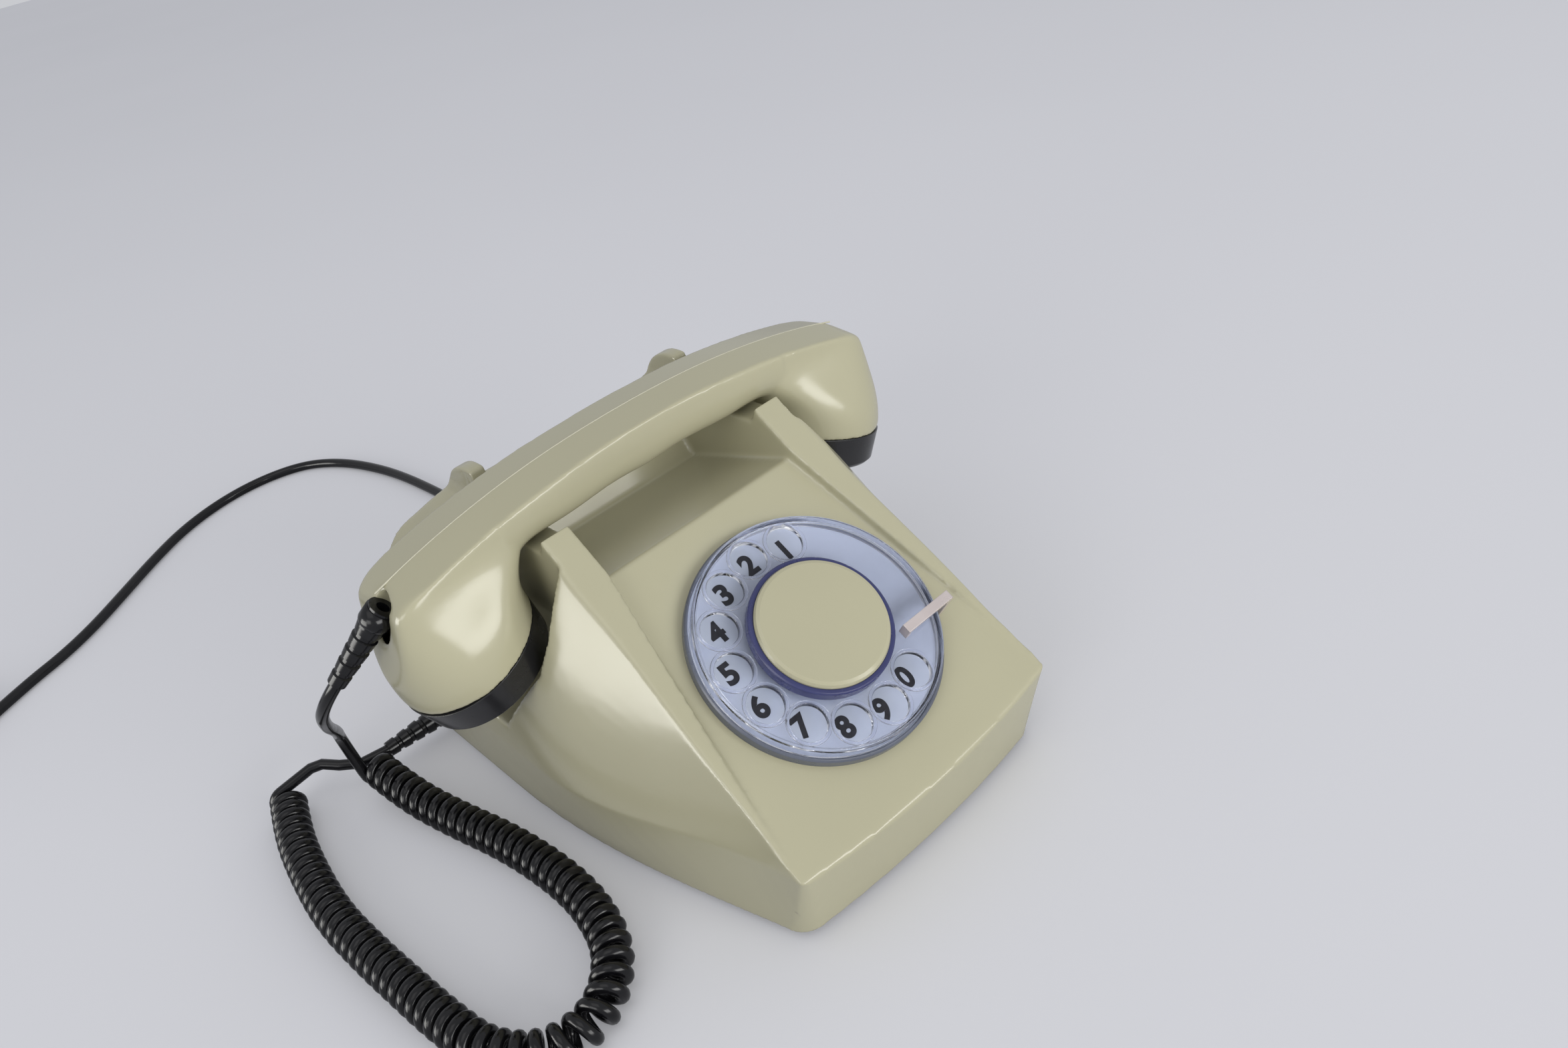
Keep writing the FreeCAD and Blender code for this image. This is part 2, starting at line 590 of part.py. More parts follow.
def build_dial():
    """The dial: bezel, number plate, clear finger wheel, collar, disc, hub and finger stop."""
    revolved("dial_bezel", [
        ("dial_opening - bezel_wall", "-dial_tube_depth"), ("dial_opening", "-dial_tube_depth"),
        ("dial_opening", "0"), ("bezel_radius", "0"), ("bezel_radius", "bezel_height - 0.7"),
        ("bezel_radius - 0.6", "bezel_height"), ("bezel_radius - bezel_wall", "bezel_height"),
        ("bezel_radius - bezel_wall", "number_plate_height - number_plate_thickness"),
        ("dial_opening - bezel_wall", "number_plate_height - number_plate_thickness")], DIAL)
    revolved("number_plate", [
        ("hub_radius + 1", "number_plate_height - number_plate_thickness"),
        ("bezel_radius - bezel_wall - 0.1", "number_plate_height - number_plate_thickness"),
        ("bezel_radius - bezel_wall - 0.1", "number_plate_height"), ("hub_radius + 1", "number_plate_height")], DIAL)
    wheel = revolved("finger_wheel", [
        ("hub_radius + seat_clearance", "wheel_plate_low"), ("wheel_radius - 1.6", "wheel_plate_low"),
        ("wheel_radius - 1.2", "wheel_rim_low"), ("wheel_radius", "wheel_rim_low"),
        ("wheel_radius", "wheel_rim_top - 0.6"), ("wheel_radius - 0.7", "wheel_rim_top"),
        ("wheel_radius - 1.6", "wheel_plate_low + wheel_plate_thickness"),
        ("hub_radius + seat_clearance", "wheel_plate_low + wheel_plate_thickness")], DIAL)
    spot = ("finger_circle * cos(finger_first * 1deg)", "finger_circle * sin(finger_first * 1deg)")
    holes = drilled(wheel, spot[0], spot[1], "finger_hole_radius", "finger_hole")
    around(wheel, holes, "finger_hole_ring", 10, "finger_pitch * 9")
    plate_top = "wheel_plate_low + wheel_plate_thickness"
    revolved("wheel_collar", [
        ("disc_radius + seat_clearance", plate_top), ("collar_radius", plate_top),
        ("collar_radius", "collar_height - 0.5"), ("collar_radius - 0.5", "collar_height"),
        ("disc_radius + seat_clearance", "collar_height")], DIAL)
    revolved("centre_disc", [
        ("shaft_radius + 4", plate_top), ("disc_radius", plate_top), ("disc_radius", "disc_height - 1.4"),
        ("disc_radius - 0.5", "disc_height - 0.4"), ("disc_radius - 1.6", "disc_height"), ("0", "disc_height"),
        ("0", "disc_height - 2"), ("shaft_radius + 4", "disc_height - 2")], DIAL)
    revolved("dial_hub", [
        ("shaft_radius", "number_plate_height + 0.5"), ("hub_radius", "number_plate_height + 0.5"),
        ("hub_radius", plate_top), ("shaft_radius", plate_top)], DIAL)
    revolved("dial_shaft", [
        ("0", "back_plate_low - 2"), ("shaft_radius", "back_plate_low - 2"),
        ("shaft_radius", "disc_height - 3"), ("0", "disc_height - 3")], DIAL)
    build_stop()


def build_stop():
    """The finger stop: a flat arm over the wheel on a leg outside the bezel."""
    v, width, top, thick = (size(n) for n in ("stop_v", "stop_width", "stop_height", "stop_thickness"))
    high, low = v + width / 2, v - width / 2
    inner = math.sqrt((size("bezel_radius") + 0.3) ** 2 - high ** 2)
    outer = inner + 2.2
    arm = box(size("stop_tip"), outer, low, high, top - thick, top)
    tip = box(size("stop_tip"), size("stop_tip") + thick, low, high, size("stop_reach"), top - thick / 2)
    stop = arm.fuse([box(inner, outer, low, high, 0, top), tip]).removeSplitter()
    bend = [e for e in stop.Edges if abs(e.BoundBox.XMin - outer) < 1e-6 and abs(e.BoundBox.ZMin - top) < 1e-6]
    feature("finger_stop", stop.makeFillet(1.2, bend), DIAL)


def gear(teeth, phase, low, width, bore):
    """A spur gear with straight-sided teeth and play enough to mesh at fixed centres."""
    module = size("gear_module")
    pitch = module * teeth / 2
    points = []
    for i in range(teeth):
        middle = phase + 2 * math.pi * i / teeth
        for r, half in ((pitch - 1.15 * module, 0.80), (pitch, 0.62), (pitch + 0.62 * module, 0.30)):
            points.append((r, middle - half * module / r))
        for r, half in ((pitch + 0.62 * module, 0.30), (pitch, 0.62), (pitch - 1.15 * module, 0.80)):
            points.append((r, middle + half * module / r))
    outline_points = [Vector(r * math.cos(a), r * math.sin(a), low) for r, a in points]
    blank = Part.Face(Part.makePolygon(outline_points + outline_points[:1])).extrude(Vector(0, 0, width))
    return blank.cut(Part.makeCylinder(bore, width + 2, Vector(0, 0, low - 1)))


def build_movement():
    """Behind the panel: plates and pillars, wheel and pinion, return spring barrel, contacts and governor."""
    clear, plate = size("running_clearance"), size("movement_plate")
    front, back, width = size("front_plate_low"), size("back_plate_low"), size("gear_width")
    centres = size("gear_module") * (size("wheel_teeth") + size("pinion_teeth")) / 2
    gear_low = front - 1.2 - width
    tube = size("dial_opening") - size("bezel_wall")
    disc = Part.makeCylinder(tube - size("seat_clearance"), plate, Vector(0, 0, front))
    for x, y, r in ((0, 0, size("shaft_radius")), (0, -centres, size("spindle_radius"))):
        disc = disc.cut(Part.makeCylinder(r + clear, plate + 2, Vector(x, y, front - 1)))
    feature("dial_front_plate", disc, DIAL)
    disc = Part.makeCylinder(size("movement_radius"), plate, Vector(0, 0, back))
    for x, y, r in ((0, 0, size("shaft_radius")), (0, -centres, size("spindle_radius"))):
        disc = disc.cut(Part.makeCylinder(r + clear, plate + 2, Vector(x, y, back - 1)))
    feature("dial_back_plate", disc, DIAL)
    pillars = []
    for angle in (30, 150, 210, 330):
        x, y = (size("pillar_circle") * f(math.radians(angle)) for f in (math.cos, math.sin))
        pillars.append(Part.makeCylinder(size("pillar_radius"), front - back - plate, Vector(x, y, back + plate)))
    feature("dial_pillars", Part.makeCompound(pillars), DIAL)
    feature("main_wheel", gear(int(size("wheel_teeth")), -math.pi / 2, gear_low, width,
                               size("shaft_radius") + size("seat_clearance")), DIAL)
    pinion = gear(int(size("pinion_teeth")), math.pi / 2 + math.pi / size("pinion_teeth"), gear_low, width, 0.4)
    pinion.translate(Vector(0, -centres, 0))
    spindle = round_bar(size("spindle_radius"), Vector(0, -centres, back - 5.5), Vector(0, -centres, front + plate))
    weights = Part.makeCylinder(size("weight_radius"), 1.6, Vector(0, -centres, back - 3.4))
    weights = weights.cut(box(-1.2, 1.2, -centres - 10, -centres - 2.4, back - 9, back))
    weights = weights.cut(box(-1.2, 1.2, -centres + 2.4, -centres + 10, back - 9, back))
    feature("governor_spindle", pinion.fuse([spindle, weights]).removeSplitter(), DIAL)
    ring = Part.makeCylinder(size("cup_radius"), 5, Vector(0, -centres, back - 5))
    ring = ring.cut(Part.makeCylinder(size("cup_radius") - 1.4, 6, Vector(0, -centres, back - 5.5)))
    feature("governor_cup", ring, DIAL)
    revolved("spring_barrel", [
        ("shaft_radius + 1.2", "back_plate_low + movement_plate"), ("barrel_radius", "back_plate_low + movement_plate"),
        ("barrel_radius", "back_plate_low + movement_plate + 2.6"),
        ("barrel_radius - 0.8", "back_plate_low + movement_plate + 3.2"),
        ("shaft_radius + 1.2", "back_plate_low + movement_plate + 3.2")], DIAL)
    stack = box(-8, 8, 15, 21, back - 6, back)
    for i in range(3):
        stack = stack.cut(box(-8.5, 8.5, 16.0, 22, back - 5.2 + i * 1.8, back - 4.4 + i * 1.8))
    feature("impulse_contacts", stack, DIAL)


def build_hook():
    """The hook switch: two plungers under the handle, the yoke that they push and its bracket and contacts."""
    top, radius = "notch_height + plunger_show", "plunger_radius"
    for name, x in (("plunger_left", "-plunger_x"), ("plunger_right", "plunger_x")):
        revolved(name, [
            ("0", "plunger_foot"), (radius + " + 0.4", "plunger_foot"), (radius + " + 0.4", "plunger_foot + 1.5"),
            (radius, "plunger_foot + 1.5"), (radius, top + " - 0.6"), (radius + " - 0.7", top), ("0", top)],
            (x, "handset_y", "0", (0, 0, 1), "0"))
    y, z, rod = size("yoke_pivot_y"), size("yoke_pivot_z"), size("yoke_rod_radius")
    px, arm, foot = size("plunger_x"), size("yoke_arm_width"), size("plunger_foot") - 0.1
    yoke = round_bar(rod, Vector(-px - arm / 2, y, z), Vector(px + arm / 2, y, z))
    for side in (-1, 1):
        points = [(size("handset_y") - 3, foot), (size("handset_y") + 4, foot), (y + 1.5, z + 3), (y + 3, z),
                  (y, z - 3), (size("handset_y") - 3, foot - 3)]
        yoke = yoke.fuse(side_prism(points, side * px - arm / 2, side * px + arm / 2))
    feature("hook_yoke", yoke.removeSplitter())
    floor, thick, bx = size("skirt_bottom") + size("plate_thickness"), size("bracket_plate"), size("bracket_x")
    bracket = box(-bx, bx, y - 6, y + 6, floor, floor + thick)
    for side in (-1, 1):
        inner = side * bx - (thick if side > 0 else 0)
        cheek = [(y - 5, floor), (y + 5, floor), (y + 4, z + 4), (y - 4, z + 4)]
        bracket = bracket.fuse(side_prism(cheek, inner, inner + thick))
    bracket = bracket.cut(round_bar(rod + size("running_clearance"), Vector(-60, y, z), Vector(60, y, z)))
    feature("hook_bracket", bracket.removeSplitter())
    stack = box(-bx + thick, bx - thick, y - 3, y + 3, z - 22, z - 12)
    for i in range(4):
        stack = stack.cut(box(-bx + thick - 1, bx - thick - 6, y - 4, y + 4, z - 20.6 + 2.3 * i, z - 19.6 + 2.3 * i))
    feature("hook_contacts", stack)


def build_ringer():
    """The ringer: frame, two coils, two gongs on posts and the clapper between them."""
    floor = size("skirt_bottom") + size("plate_thickness")
    gx, gy, post = size("gong_x"), size("gong_y"), size("gong_post_radius")
    top = size("gong_low") + size("gong_depth")
    cx, cy = size("coil_x"), size("coil_y")
    frame = box(-gx - 5, gx + 5, size("clapper_y") - 3, gy + 4, floor, floor + 2)
    frame = frame.cut(box(-cx + 2, cx - 2, gy - 3, gy + 5, floor - 1, floor + 3))
    for side in (-1, 1):
        frame = frame.fuse(Part.makeCylinder(post, top - floor - 2, Vector(side * gx, gy, floor + 2)))
        frame = frame.fuse(Part.makeCylinder(post + 1.5, size("gong_low") + size("gong_depth") - 1.4 - floor - 2,
                                             Vector(side * gx, gy, floor + 2)))
    pivot = Part.makeCylinder(1.5, size("clapper_height") + 3 - floor, Vector(0, size("clapper_y"), floor))
    feature("ringer_frame", frame.fuse(pivot).removeSplitter())
    for name, x in (("gong_left", "-gong_x"), ("gong_right", "gong_x")):
        wall, high = "gong_wall", "gong_low + gong_depth"
        revolved(name, [
            ("gong_radius - " + wall, "gong_low"), ("gong_radius", "gong_low"), ("gong_radius - 0.8", high + " - 5"),
            ("gong_radius - 4", high + " - 1"), ("gong_radius - 8", high), ("gong_post_radius", high),
            ("gong_post_radius", high + " - " + wall), ("gong_radius - 8.4", high + " - " + wall),
            ("gong_radius - 5", high + " - 2.2"), ("gong_radius - 0.8 - " + wall, high + " - 5.6")],
            (x, "gong_y", "0", (0, 0, 1), "0"))
    coils = []
    for side in (-1, 1):
        spool = Part.makeCylinder(size("coil_radius"), size("coil_height"), Vector(side * cx, cy, floor + 2))
        waist = Part.makeCylinder(size("coil_radius") + 1, size("coil_height") - 3, Vector(side * cx, cy, floor + 3.5))
        waist = waist.cut(Part.makeCylinder(size("coil_radius") - 1, 40, Vector(side * cx, cy, floor)))
        coils.append(spool.cut(waist))
    feature("ringer_coils", Part.makeCompound(coils))
    height, ball = size("clapper_height"), size("clapper_ball_radius")
    arm = box(-1, 1, size("clapper_y"), gy, height - 0.8, height + 0.8)
    hub = Part.makeCylinder(3.2, 8, Vector(0, size("clapper_y"), height - 7))
    armature = box(-cx - 5, cx + 5, size("clapper_y") - 3, cy, height - 6, height - 4)
    knob = Part.makeCone(ball, ball * 0.5, ball, Vector(0, gy, height))
    knob = knob.fuse(Part.makeCone(ball, ball * 0.5, ball, Vector(0, gy, height), Vector(0, 0, -1)))
    clapper = hub.fuse([arm, knob, armature])
    bore = Part.makeCylinder(1.5 + size("running_clearance"), 60, Vector(0, size("clapper_y"), 0))
    feature("clapper", clapper.cut(bore).removeSplitter())


def build_board():
    """The board on the base plate, with its transformer, capacitor and terminals."""
    floor, height = size("skirt_bottom") + size("plate_thickness"), size("board_height")
    half, front, rear, thick = (size(n) for n in ("board_half_width", "board_front_y", "board_rear_y", "board_thickness"))
    padded("circuit_board", block(("-board_half_width", "board_half_width"), ("board_front_y", "board_rear_y")),
           "board_height", "board_thickness")
    spacers = [Part.makeCylinder(3, height - floor, Vector(side * (half - 5), y, floor))
               for side in (-1, 1) for y in (front + 5, rear - 5)]
    feature("board_spacers", Part.makeCompound(spacers))
    top = "board_height + board_thickness"
    wide = "transformer_width"
    padded("induction_coil", block(("-" + wide + " / 2 - 12", wide + " / 2 - 12"), ("-48", "-28")),
           top, "transformer_height")
    length = size("capacitor_length")
    z = height + thick + size("capacitor_radius")
    can = round_bar(size("capacitor_radius"), Vector(18, -38 - length / 2, z), Vector(18, -38 + length / 2, z))
    feature("capacitor", can)
    block_top = height + thick
    strip = box(-size("terminal_length") / 2, size("terminal_length") / 2, -14, -3, block_top,
                block_top + size("terminal_height"))
    for i in range(5):
        x = (i - 2) * size("terminal_length") / 5.5
        strip = strip.cut(Part.makeCylinder(2.2, 4, Vector(x, -8.5, block_top + size("terminal_height") - 2.5)))
    feature("terminal_block", strip)


def relief_profile(inside):
    """A ribbed sleeve that tapers from its root to its tip, round a cord."""
    bore = "lead_radius + 0.05"
    points = [(bore, inside), ("relief_radius", inside), ("relief_radius", "3.5")]
    for i in range(4):
        at = "relief_length * %.2f" % (0.22 + 0.19 * i)
        slim = "relief_radius - (relief_radius - relief_tip_radius) * %.2f" % (0.25 + 0.2 * i)
        points += [(slim, at), (slim + " - 0.6", at + " + 0.4"), (slim + " - 0.6", at + " + 1.6"),
                   (slim, at + " + 2")]
    return points + [("relief_tip_radius", "relief_length"), (bore, "relief_length")]


def build_handset():
    """The handset: shell, caps with sound holes, capsules and the cord's sleeve."""
    shell = handset_solid().cut(handset_hollow())
    root, way = handset_exit()
    shell = shell.cut(round_bar(size("relief_radius") + size("seat_clearance"), root - way * 8, root + way * 20))
    shell = max(shell.Solids, key=lambda solid: solid.Volume)
    feature("handset_shell", shell)
    inner = "rim_radius - handset_wall - seat_clearance"
    for name, side in (("mouth_cap", -1), ("ear_cap", 1)):
        base = "rim_radius - cap_taper"
        cap = revolved(name, [
            ("0", "-cap_depth"), (base + " - 1.2", "-cap_depth"), (base, "-cap_depth + 1.2"), ("rim_radius", "0"),
            (inner, "0"), (inner, "4.5"), (inner + " - 1.4", "4.5"), (inner + " - 1.4", "-cap_depth + cap_face"),
            ("0", "-cap_depth + cap_face")], RIMS[side])
        if side > 0:
            drilled(cap, "0", "0", "sound_hole_radius", "middle_hole")
        ring = drilled(cap, "6", "0", "sound_hole_radius", "sound_hole")
        around(cap, ring, "sound_ring", 6, "360")
    for name, side in (("transmitter_capsule", -1), ("receiver_capsule", 1)):
        revolved(name, [
            ("0", "-cap_depth + cap_face"), ("capsule_radius", "-cap_depth + cap_face"), ("capsule_radius", "-3.5"),
            ("capsule_radius - 4", "-2"), ("0", "-2")], RIMS[side])
    turn = FreeCAD.Rotation(Vector(0, 0, 1), way)
    sleeve = revolved("handset_relief", relief_profile("-4"))
    sleeve.Placement = FreeCAD.Placement(root, turn)


def rounded_route(points):
    """Straight runs joined by tangent arcs, each as large as its two runs allow."""
    edges, radii, here = [], [], points[0]
    for before, corner, after in zip(points, points[1:], points[2:]):
        a, b = before - corner, after - corner
        reach = 0.45 * min(a.Length, b.Length)
        a.normalize()
        b.normalize()
        turn = math.pi - a.getAngle(b)
        radius = reach / math.tan(turn / 2)
        start, end = corner + a * reach, corner + b * reach
        middle = (a + b).normalize()
        edges.append(Part.LineSegment(here, start).toShape())
        edges.append(Part.Arc(start, corner + middle * (radius / math.cos(turn / 2) - radius), end).toShape())
        radii.append(radius)
        here = end
    edges.append(Part.LineSegment(here, points[-1]).toShape())
    return Part.Wire(edges), radii


def tube(label, points, radius):
    """A plain cord along a route, with its radii and volume printed."""
    path, radii = rounded_route(points)
    start = (points[1] - points[0]).normalize()
    ring = Part.Wire([Part.Circle(points[0], start, radius).toShape()])
    cord = path.makePipeShell([ring], True, False)
    share = cord.Volume / (math.pi * radius ** 2 * path.Length)
    print(label, "radii", [round(r) for r in radii], "length", round(path.Length), "volume share", round(share, 4))
    return feature(label, cord.Solids[0])


def biarc(p0, t0, p1, t1):
    """Two arcs that leave p0 along t0 and reach p1 along t1."""
    v, t = p1 - p0, t0 + t1
    share = 2 * (1 - t0.dot(t1))
    if share > 1e-9:
        reach = (-v.dot(t) + math.sqrt(v.dot(t) ** 2 + share * v.dot(v))) / share
    else:
        reach = v.dot(v) / (2 * v.dot(t))
    q0, q1 = p0 + t0 * reach, p1 - t1 * reach
    joint = (q0 + q1) * 0.5
    arcs = []
    for start, corner, end in ((p0, q0, joint), (joint, q1, p1)):
        chord = (start + end) * 0.5
        half, rise = (end - start).Length / 2, (corner - chord).Length
        bulge = half * math.tan(math.atan2(rise, half) / 2)
        arcs.append(Part.Arc(start, chord + (corner - chord).normalize() * bulge, end))
    return arcs


def wound(label, curve, turns, radius, sides, chords, tail):
    """A wound cord as one unbroken tube: chords of biarcs of half a turn, so that its facets stay few."""
    steps = max(int(round(turns * 2)), 2)
    ends = [curve(turns * i / steps) for i in range(steps + 1)]
    spots = [ends[0][0] - ends[0][1] * tail, ends[0][0]]
    for (p0, t0), (p1, t1) in zip(ends, ends[1:]):
        for arc in biarc(p0, t0, p1, t1):
            first, last = arc.FirstParameter, arc.LastParameter
            run = [arc.value(first + (last - first) * k / chords) for k in range(chords + 1)]
            spots += run[1:] if (run[0] - spots[-1]).Length < 1e-6 else run[::-1][1:]
    spots.append(ends[-1][0] + ends[-1][1] * tail)
    start = (spots[1] - spots[0]).normalize()
    across = start.cross(Vector(0, 0, 1) if abs(start.z) < 0.9 else Vector(1, 0, 0)).normalize()
    up = start.cross(across)
    ring = [spots[0] + (across * math.cos(a) + up * math.sin(a)) * radius
            for a in ((k + 0.5) * 2 * math.pi / sides for k in range(sides))]
    shell = Part.BRepOffsetAPI.MakePipeShell(Part.makePolygon(spots))
    shell.add(Part.makePolygon(ring + ring[:1]))
    shell.setTransitionMode(1)
    shell.build()
    shell.makeSolid()
    probes = [curve(turns * i / (turns * 24.0))[0] for i in range(int(turns * 24) + 1)]
    gap = min((a - b).Length for i, a in enumerate(probes) for b in probes[i + 12:i + 80]) - 2 * radius
    length = sum((b - a).Length for a, b in zip(spots, spots[1:]))
    print(label, "turns", round(turns, 1), "length", round(length), "least gap", round(gap, 2))
    return feature(label, shell.shape())


def curly(points, first_phase, last_phase):
    """The curls about a rounded route: a function of turns, and how many turns there are."""
    path, radii = rounded_route(points)
    print("curly_cord centreline radii", [round(r) for r in radii], "length", round(path.Length))
    r, wire, gap = size("curl_radius"), 2 * size("lead_radius"), size("curl_gap")
    spans, total = [], 0.0
    for edge in path.Edges:
        spans.append((total, edge))
        total += edge.Length
    bends = [1.0 / e.Curve.Radius if hasattr(e.Curve, "Radius") else 0.0 for _, e in spans]

    def at(s):
        index = max(i for i, (start, _) in enumerate(spans) if start <= s + 1e-9)
        start, edge = spans[index]
        share = min(max((s - start) / edge.Length, 0.0), 1.0)
        here = edge.FirstParameter + (edge.LastParameter - edge.FirstParameter) * share
        return edge.valueAt(here), edge.tangentAt(here), bends[index]
    count = 3000
    phases = [0.0]
    for i in range(count):
        pitch = (wire + gap) / (1 - r * at(total * (i + 0.5) / count)[2])
        phases.append(phases[-1] + total / count / pitch)
    turns = math.floor(phases[-1]) + last_phase - first_phase
    stretch = phases[-1] / turns

    def spot(turn):
        phase = turn * stretch
        low = max(0, min(count - 1, next((i for i, p in enumerate(phases) if p > phase), count) - 1))
        share = (phase - phases[low]) / (phases[low + 1] - phases[low])
        centre, along, _ = at(total * (low + share) / count)
        side = along.cross(Vector(0, 0, 1)).normalize()
        angle = 2 * math.pi * (turn + first_phase)
        return centre + side * (r * math.cos(angle)) - Vector(0, 0, 1) * (r * math.sin(angle))

    def curve(turn):
        low, high = max(turn - 1e-3, 0.0), min(turn + 1e-3, turns)
        return spot(turn), (spot(high) - spot(low)).normalize()
    return curve, turns


def hank_curve(centre):
    """Loops that spiral in on the table, climb a layer and spiral out again."""
    loops, outer, pitch = size("hank_loops"), size("hank_radius"), size("hank_pitch")
    low, layer = size("line_radius") + 0.1, size("hank_layer")

    def spot(turn):
        inward = min(turn, loops - turn)
        radius = outer - pitch * inward
        climb = smooth((turn - loops / 2 + 0.25) / 0.5)
        angle = math.radians(-53) - 2 * math.pi * turn
        return centre + Vector(radius * math.cos(angle), radius * math.sin(angle), low + layer * climb)

    def curve(turn):
        before, after = max(turn - 1e-3, 0.0), min(turn + 1e-3, loops)
        return spot(turn), (spot(after) - spot(before)).normalize()
    return curve, loops


# Points of the curly cord's middle line: X, Y and the height above where it lies on the table.
COIL_ROUTE = [(-108, 88, 6), (-106, 68, 2.5), (-100.5, 44, 0), (-93.8, 16, 0), (-90.7, -11.7, 0), (-91.4, -32, 0),
              (-97, -52, 0), (-112, -65.5, 0), (-130, -64, 0), (-142, -49, 0), (-145.4, -28, 0), (-147.6, -5, 0),
              (-149.4, 15, 0), (-150.7, 41, 0), (-147.6, 70, 0), (-143.4, 92, 0), (-137.5, 110, 0)]
LINE_ROUTE = [(11, 171), (14, 197), (19, 235), (18.9, 271), (16.4, 317), (9.5, 351), (0.4, 374), (-12.7, 390),
              (-34.7, 398), (-59.7, 397), (-85.6, 387), (-108.6, 370), (-131.4, 350), (-152.4, 332),
              (-170.9, 320), (-186.9, 313)]
HANK_CENTRE = (-250, 318)


def build_cords():
    """The cords: the curly one with its two plain ends, and the line cord with its coil and plug."""
    wire, line = size("lead_radius"), size("line_radius")
    level = size("curl_radius") + wire + 0.1
    curve, turns = curly([Vector(x, y, level + rise) for x, y, rise in COIL_ROUTE], 0.0, 0.75)
    tail = 2 * wire
    wound("curly_cord", curve, turns, wire, 6, 3, tail)
    (top, down), (foot, out) = curve(0.0), curve(turns)
    root, way = handset_exit()
    tip = root + way * size("relief_length")
    hang = top - down * tail
    lead = [tip, tip + way * 12, Vector(-121.5, 56, 62), Vector(-115.6, 78, 43), hang - down * 12, hang]
    tube("handset_lead", lead, wire)
    end = foot + out * tail
    sleeve = Vector(-size("skirt_rear_half_width") + size("case_wall") - size("relief_length"),
                    size("side_exit_y"), size("side_exit_z"))
    back = [end, end + out * 12, Vector(sleeve.x - 12.5, sleeve.y, sleeve.z), sleeve]
    tube("base_lead", back, wire)
    revolved("side_cord_relief", relief_profile("-3"), SIDE_EXIT)
    exit_y = number(REAR_EXIT[1])
    revolved("line_cord_gland", [
        ("line_radius + 0.05", "-3"), ("relief_radius", "-3"), ("relief_radius", "5"), ("line_radius + 1.2", "18"),
        ("line_radius + 0.05", "18")], REAR_EXIT)
    way_out = Vector(size("rear_exit_x"), exit_y + 18, size("rear_exit_z"))
    curve, loops = hank_curve(Vector(HANK_CENTRE[0], HANK_CENTRE[1], 0))
    (enter, into), (leave, away) = curve(0.0), curve(loops)
    route = [way_out, way_out + Vector(0, 14, 0), way_out + Vector(0.3, 30, -6)]
    route += [Vector(x, y, line + 0.05) for x, y in LINE_ROUTE]
    route += [enter - into * 18, enter - into * 5]
    tube("line_cord", route, line)
    wound("line_cord_coil", curve, loops, line, 6, 4, 5)
    start = leave + away * 5
    flat = Vector(away.x, away.y, 0).normalize()
    side = Vector(flat.y, -flat.x, 0)
    drop = Vector(0, 0, line + 0.05 - start.z)
    tail_route = [start, start + flat * 9, start + flat * 22 + drop + Vector(0, 0, 1.2),
                  start + flat * 38 - side * 3 + drop, start + flat * 56 - side * 10 + drop]
    tube("plug_lead", tail_route, line)
    plug_at, last = tail_route[-1], (tail_route[-1] - tail_route[-2]).normalize()
    build_plug(plug_at, last)


def build_plug(at, way):
    """The plug on the table, with its sleeve and contact blade."""
    length, width, height, line = (size(n) for n in ("plug_length", "plug_width", "plug_height", "line_radius"))
    neck = Part.makeCone(line + 1.2, line + 2.4, 12, Vector(0, 0, 0), Vector(1, 0, 0))
    body = box(12, 12 + length, -width / 2, width / 2, -line + 0.05, height - line)
    body = body.makeFillet(2.5, [e for e in body.Edges if e.BoundBox.XLength < 0.1 and e.BoundBox.ZLength > 1
                                 or e.BoundBox.XLength > 1 and e.BoundBox.ZMin > 1])
    neck = neck.common(box(-1, 14, -20, 20, -line + 0.05, 20))
    case = body.fuse(neck).removeSplitter()
    blade = box(12 + length, 12 + length + 14, -5, 5, 1.5, 5.5)
    place = FreeCAD.Placement(at, FreeCAD.Rotation(Vector(1, 0, 0), way))
    for name, shape in (("wall_plug", case), ("plug_blade", blade)):
        feature(name, shape).Placement = place


def write_parts():
    """Check each piece, then write its STEP file."""
    doc.recompute()
    os.makedirs("parts", exist_ok=True)
    pieces = [o for o in doc.Objects if o.TypeId in ("PartDesign::Body", "Part::Feature")]
    for item in doc.Objects:
        if "Invalid" in item.State or "Error" in item.State:
            raise RuntimeError("%s is %s" % (item.Label, item.State))
    for piece in pieces:
        if piece.Shape.isNull() or not piece.Shape.isValid():
            raise RuntimeError("%s has no valid shape" % piece.Label)
    for piece in pieces:
        piece.Shape.exportStep("parts/%s.step" % piece.Label)
    print(len(pieces), "pieces")


load_sizes()
for step in (build_case, build_base, build_dial, build_movement, build_hook, build_ringer, build_board,
             build_handset, build_cords):
    step()
sheet.clear("D1")
write_parts()
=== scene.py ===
import json
import math

import bmesh
import bpy
from mathutils import Matrix, Vector


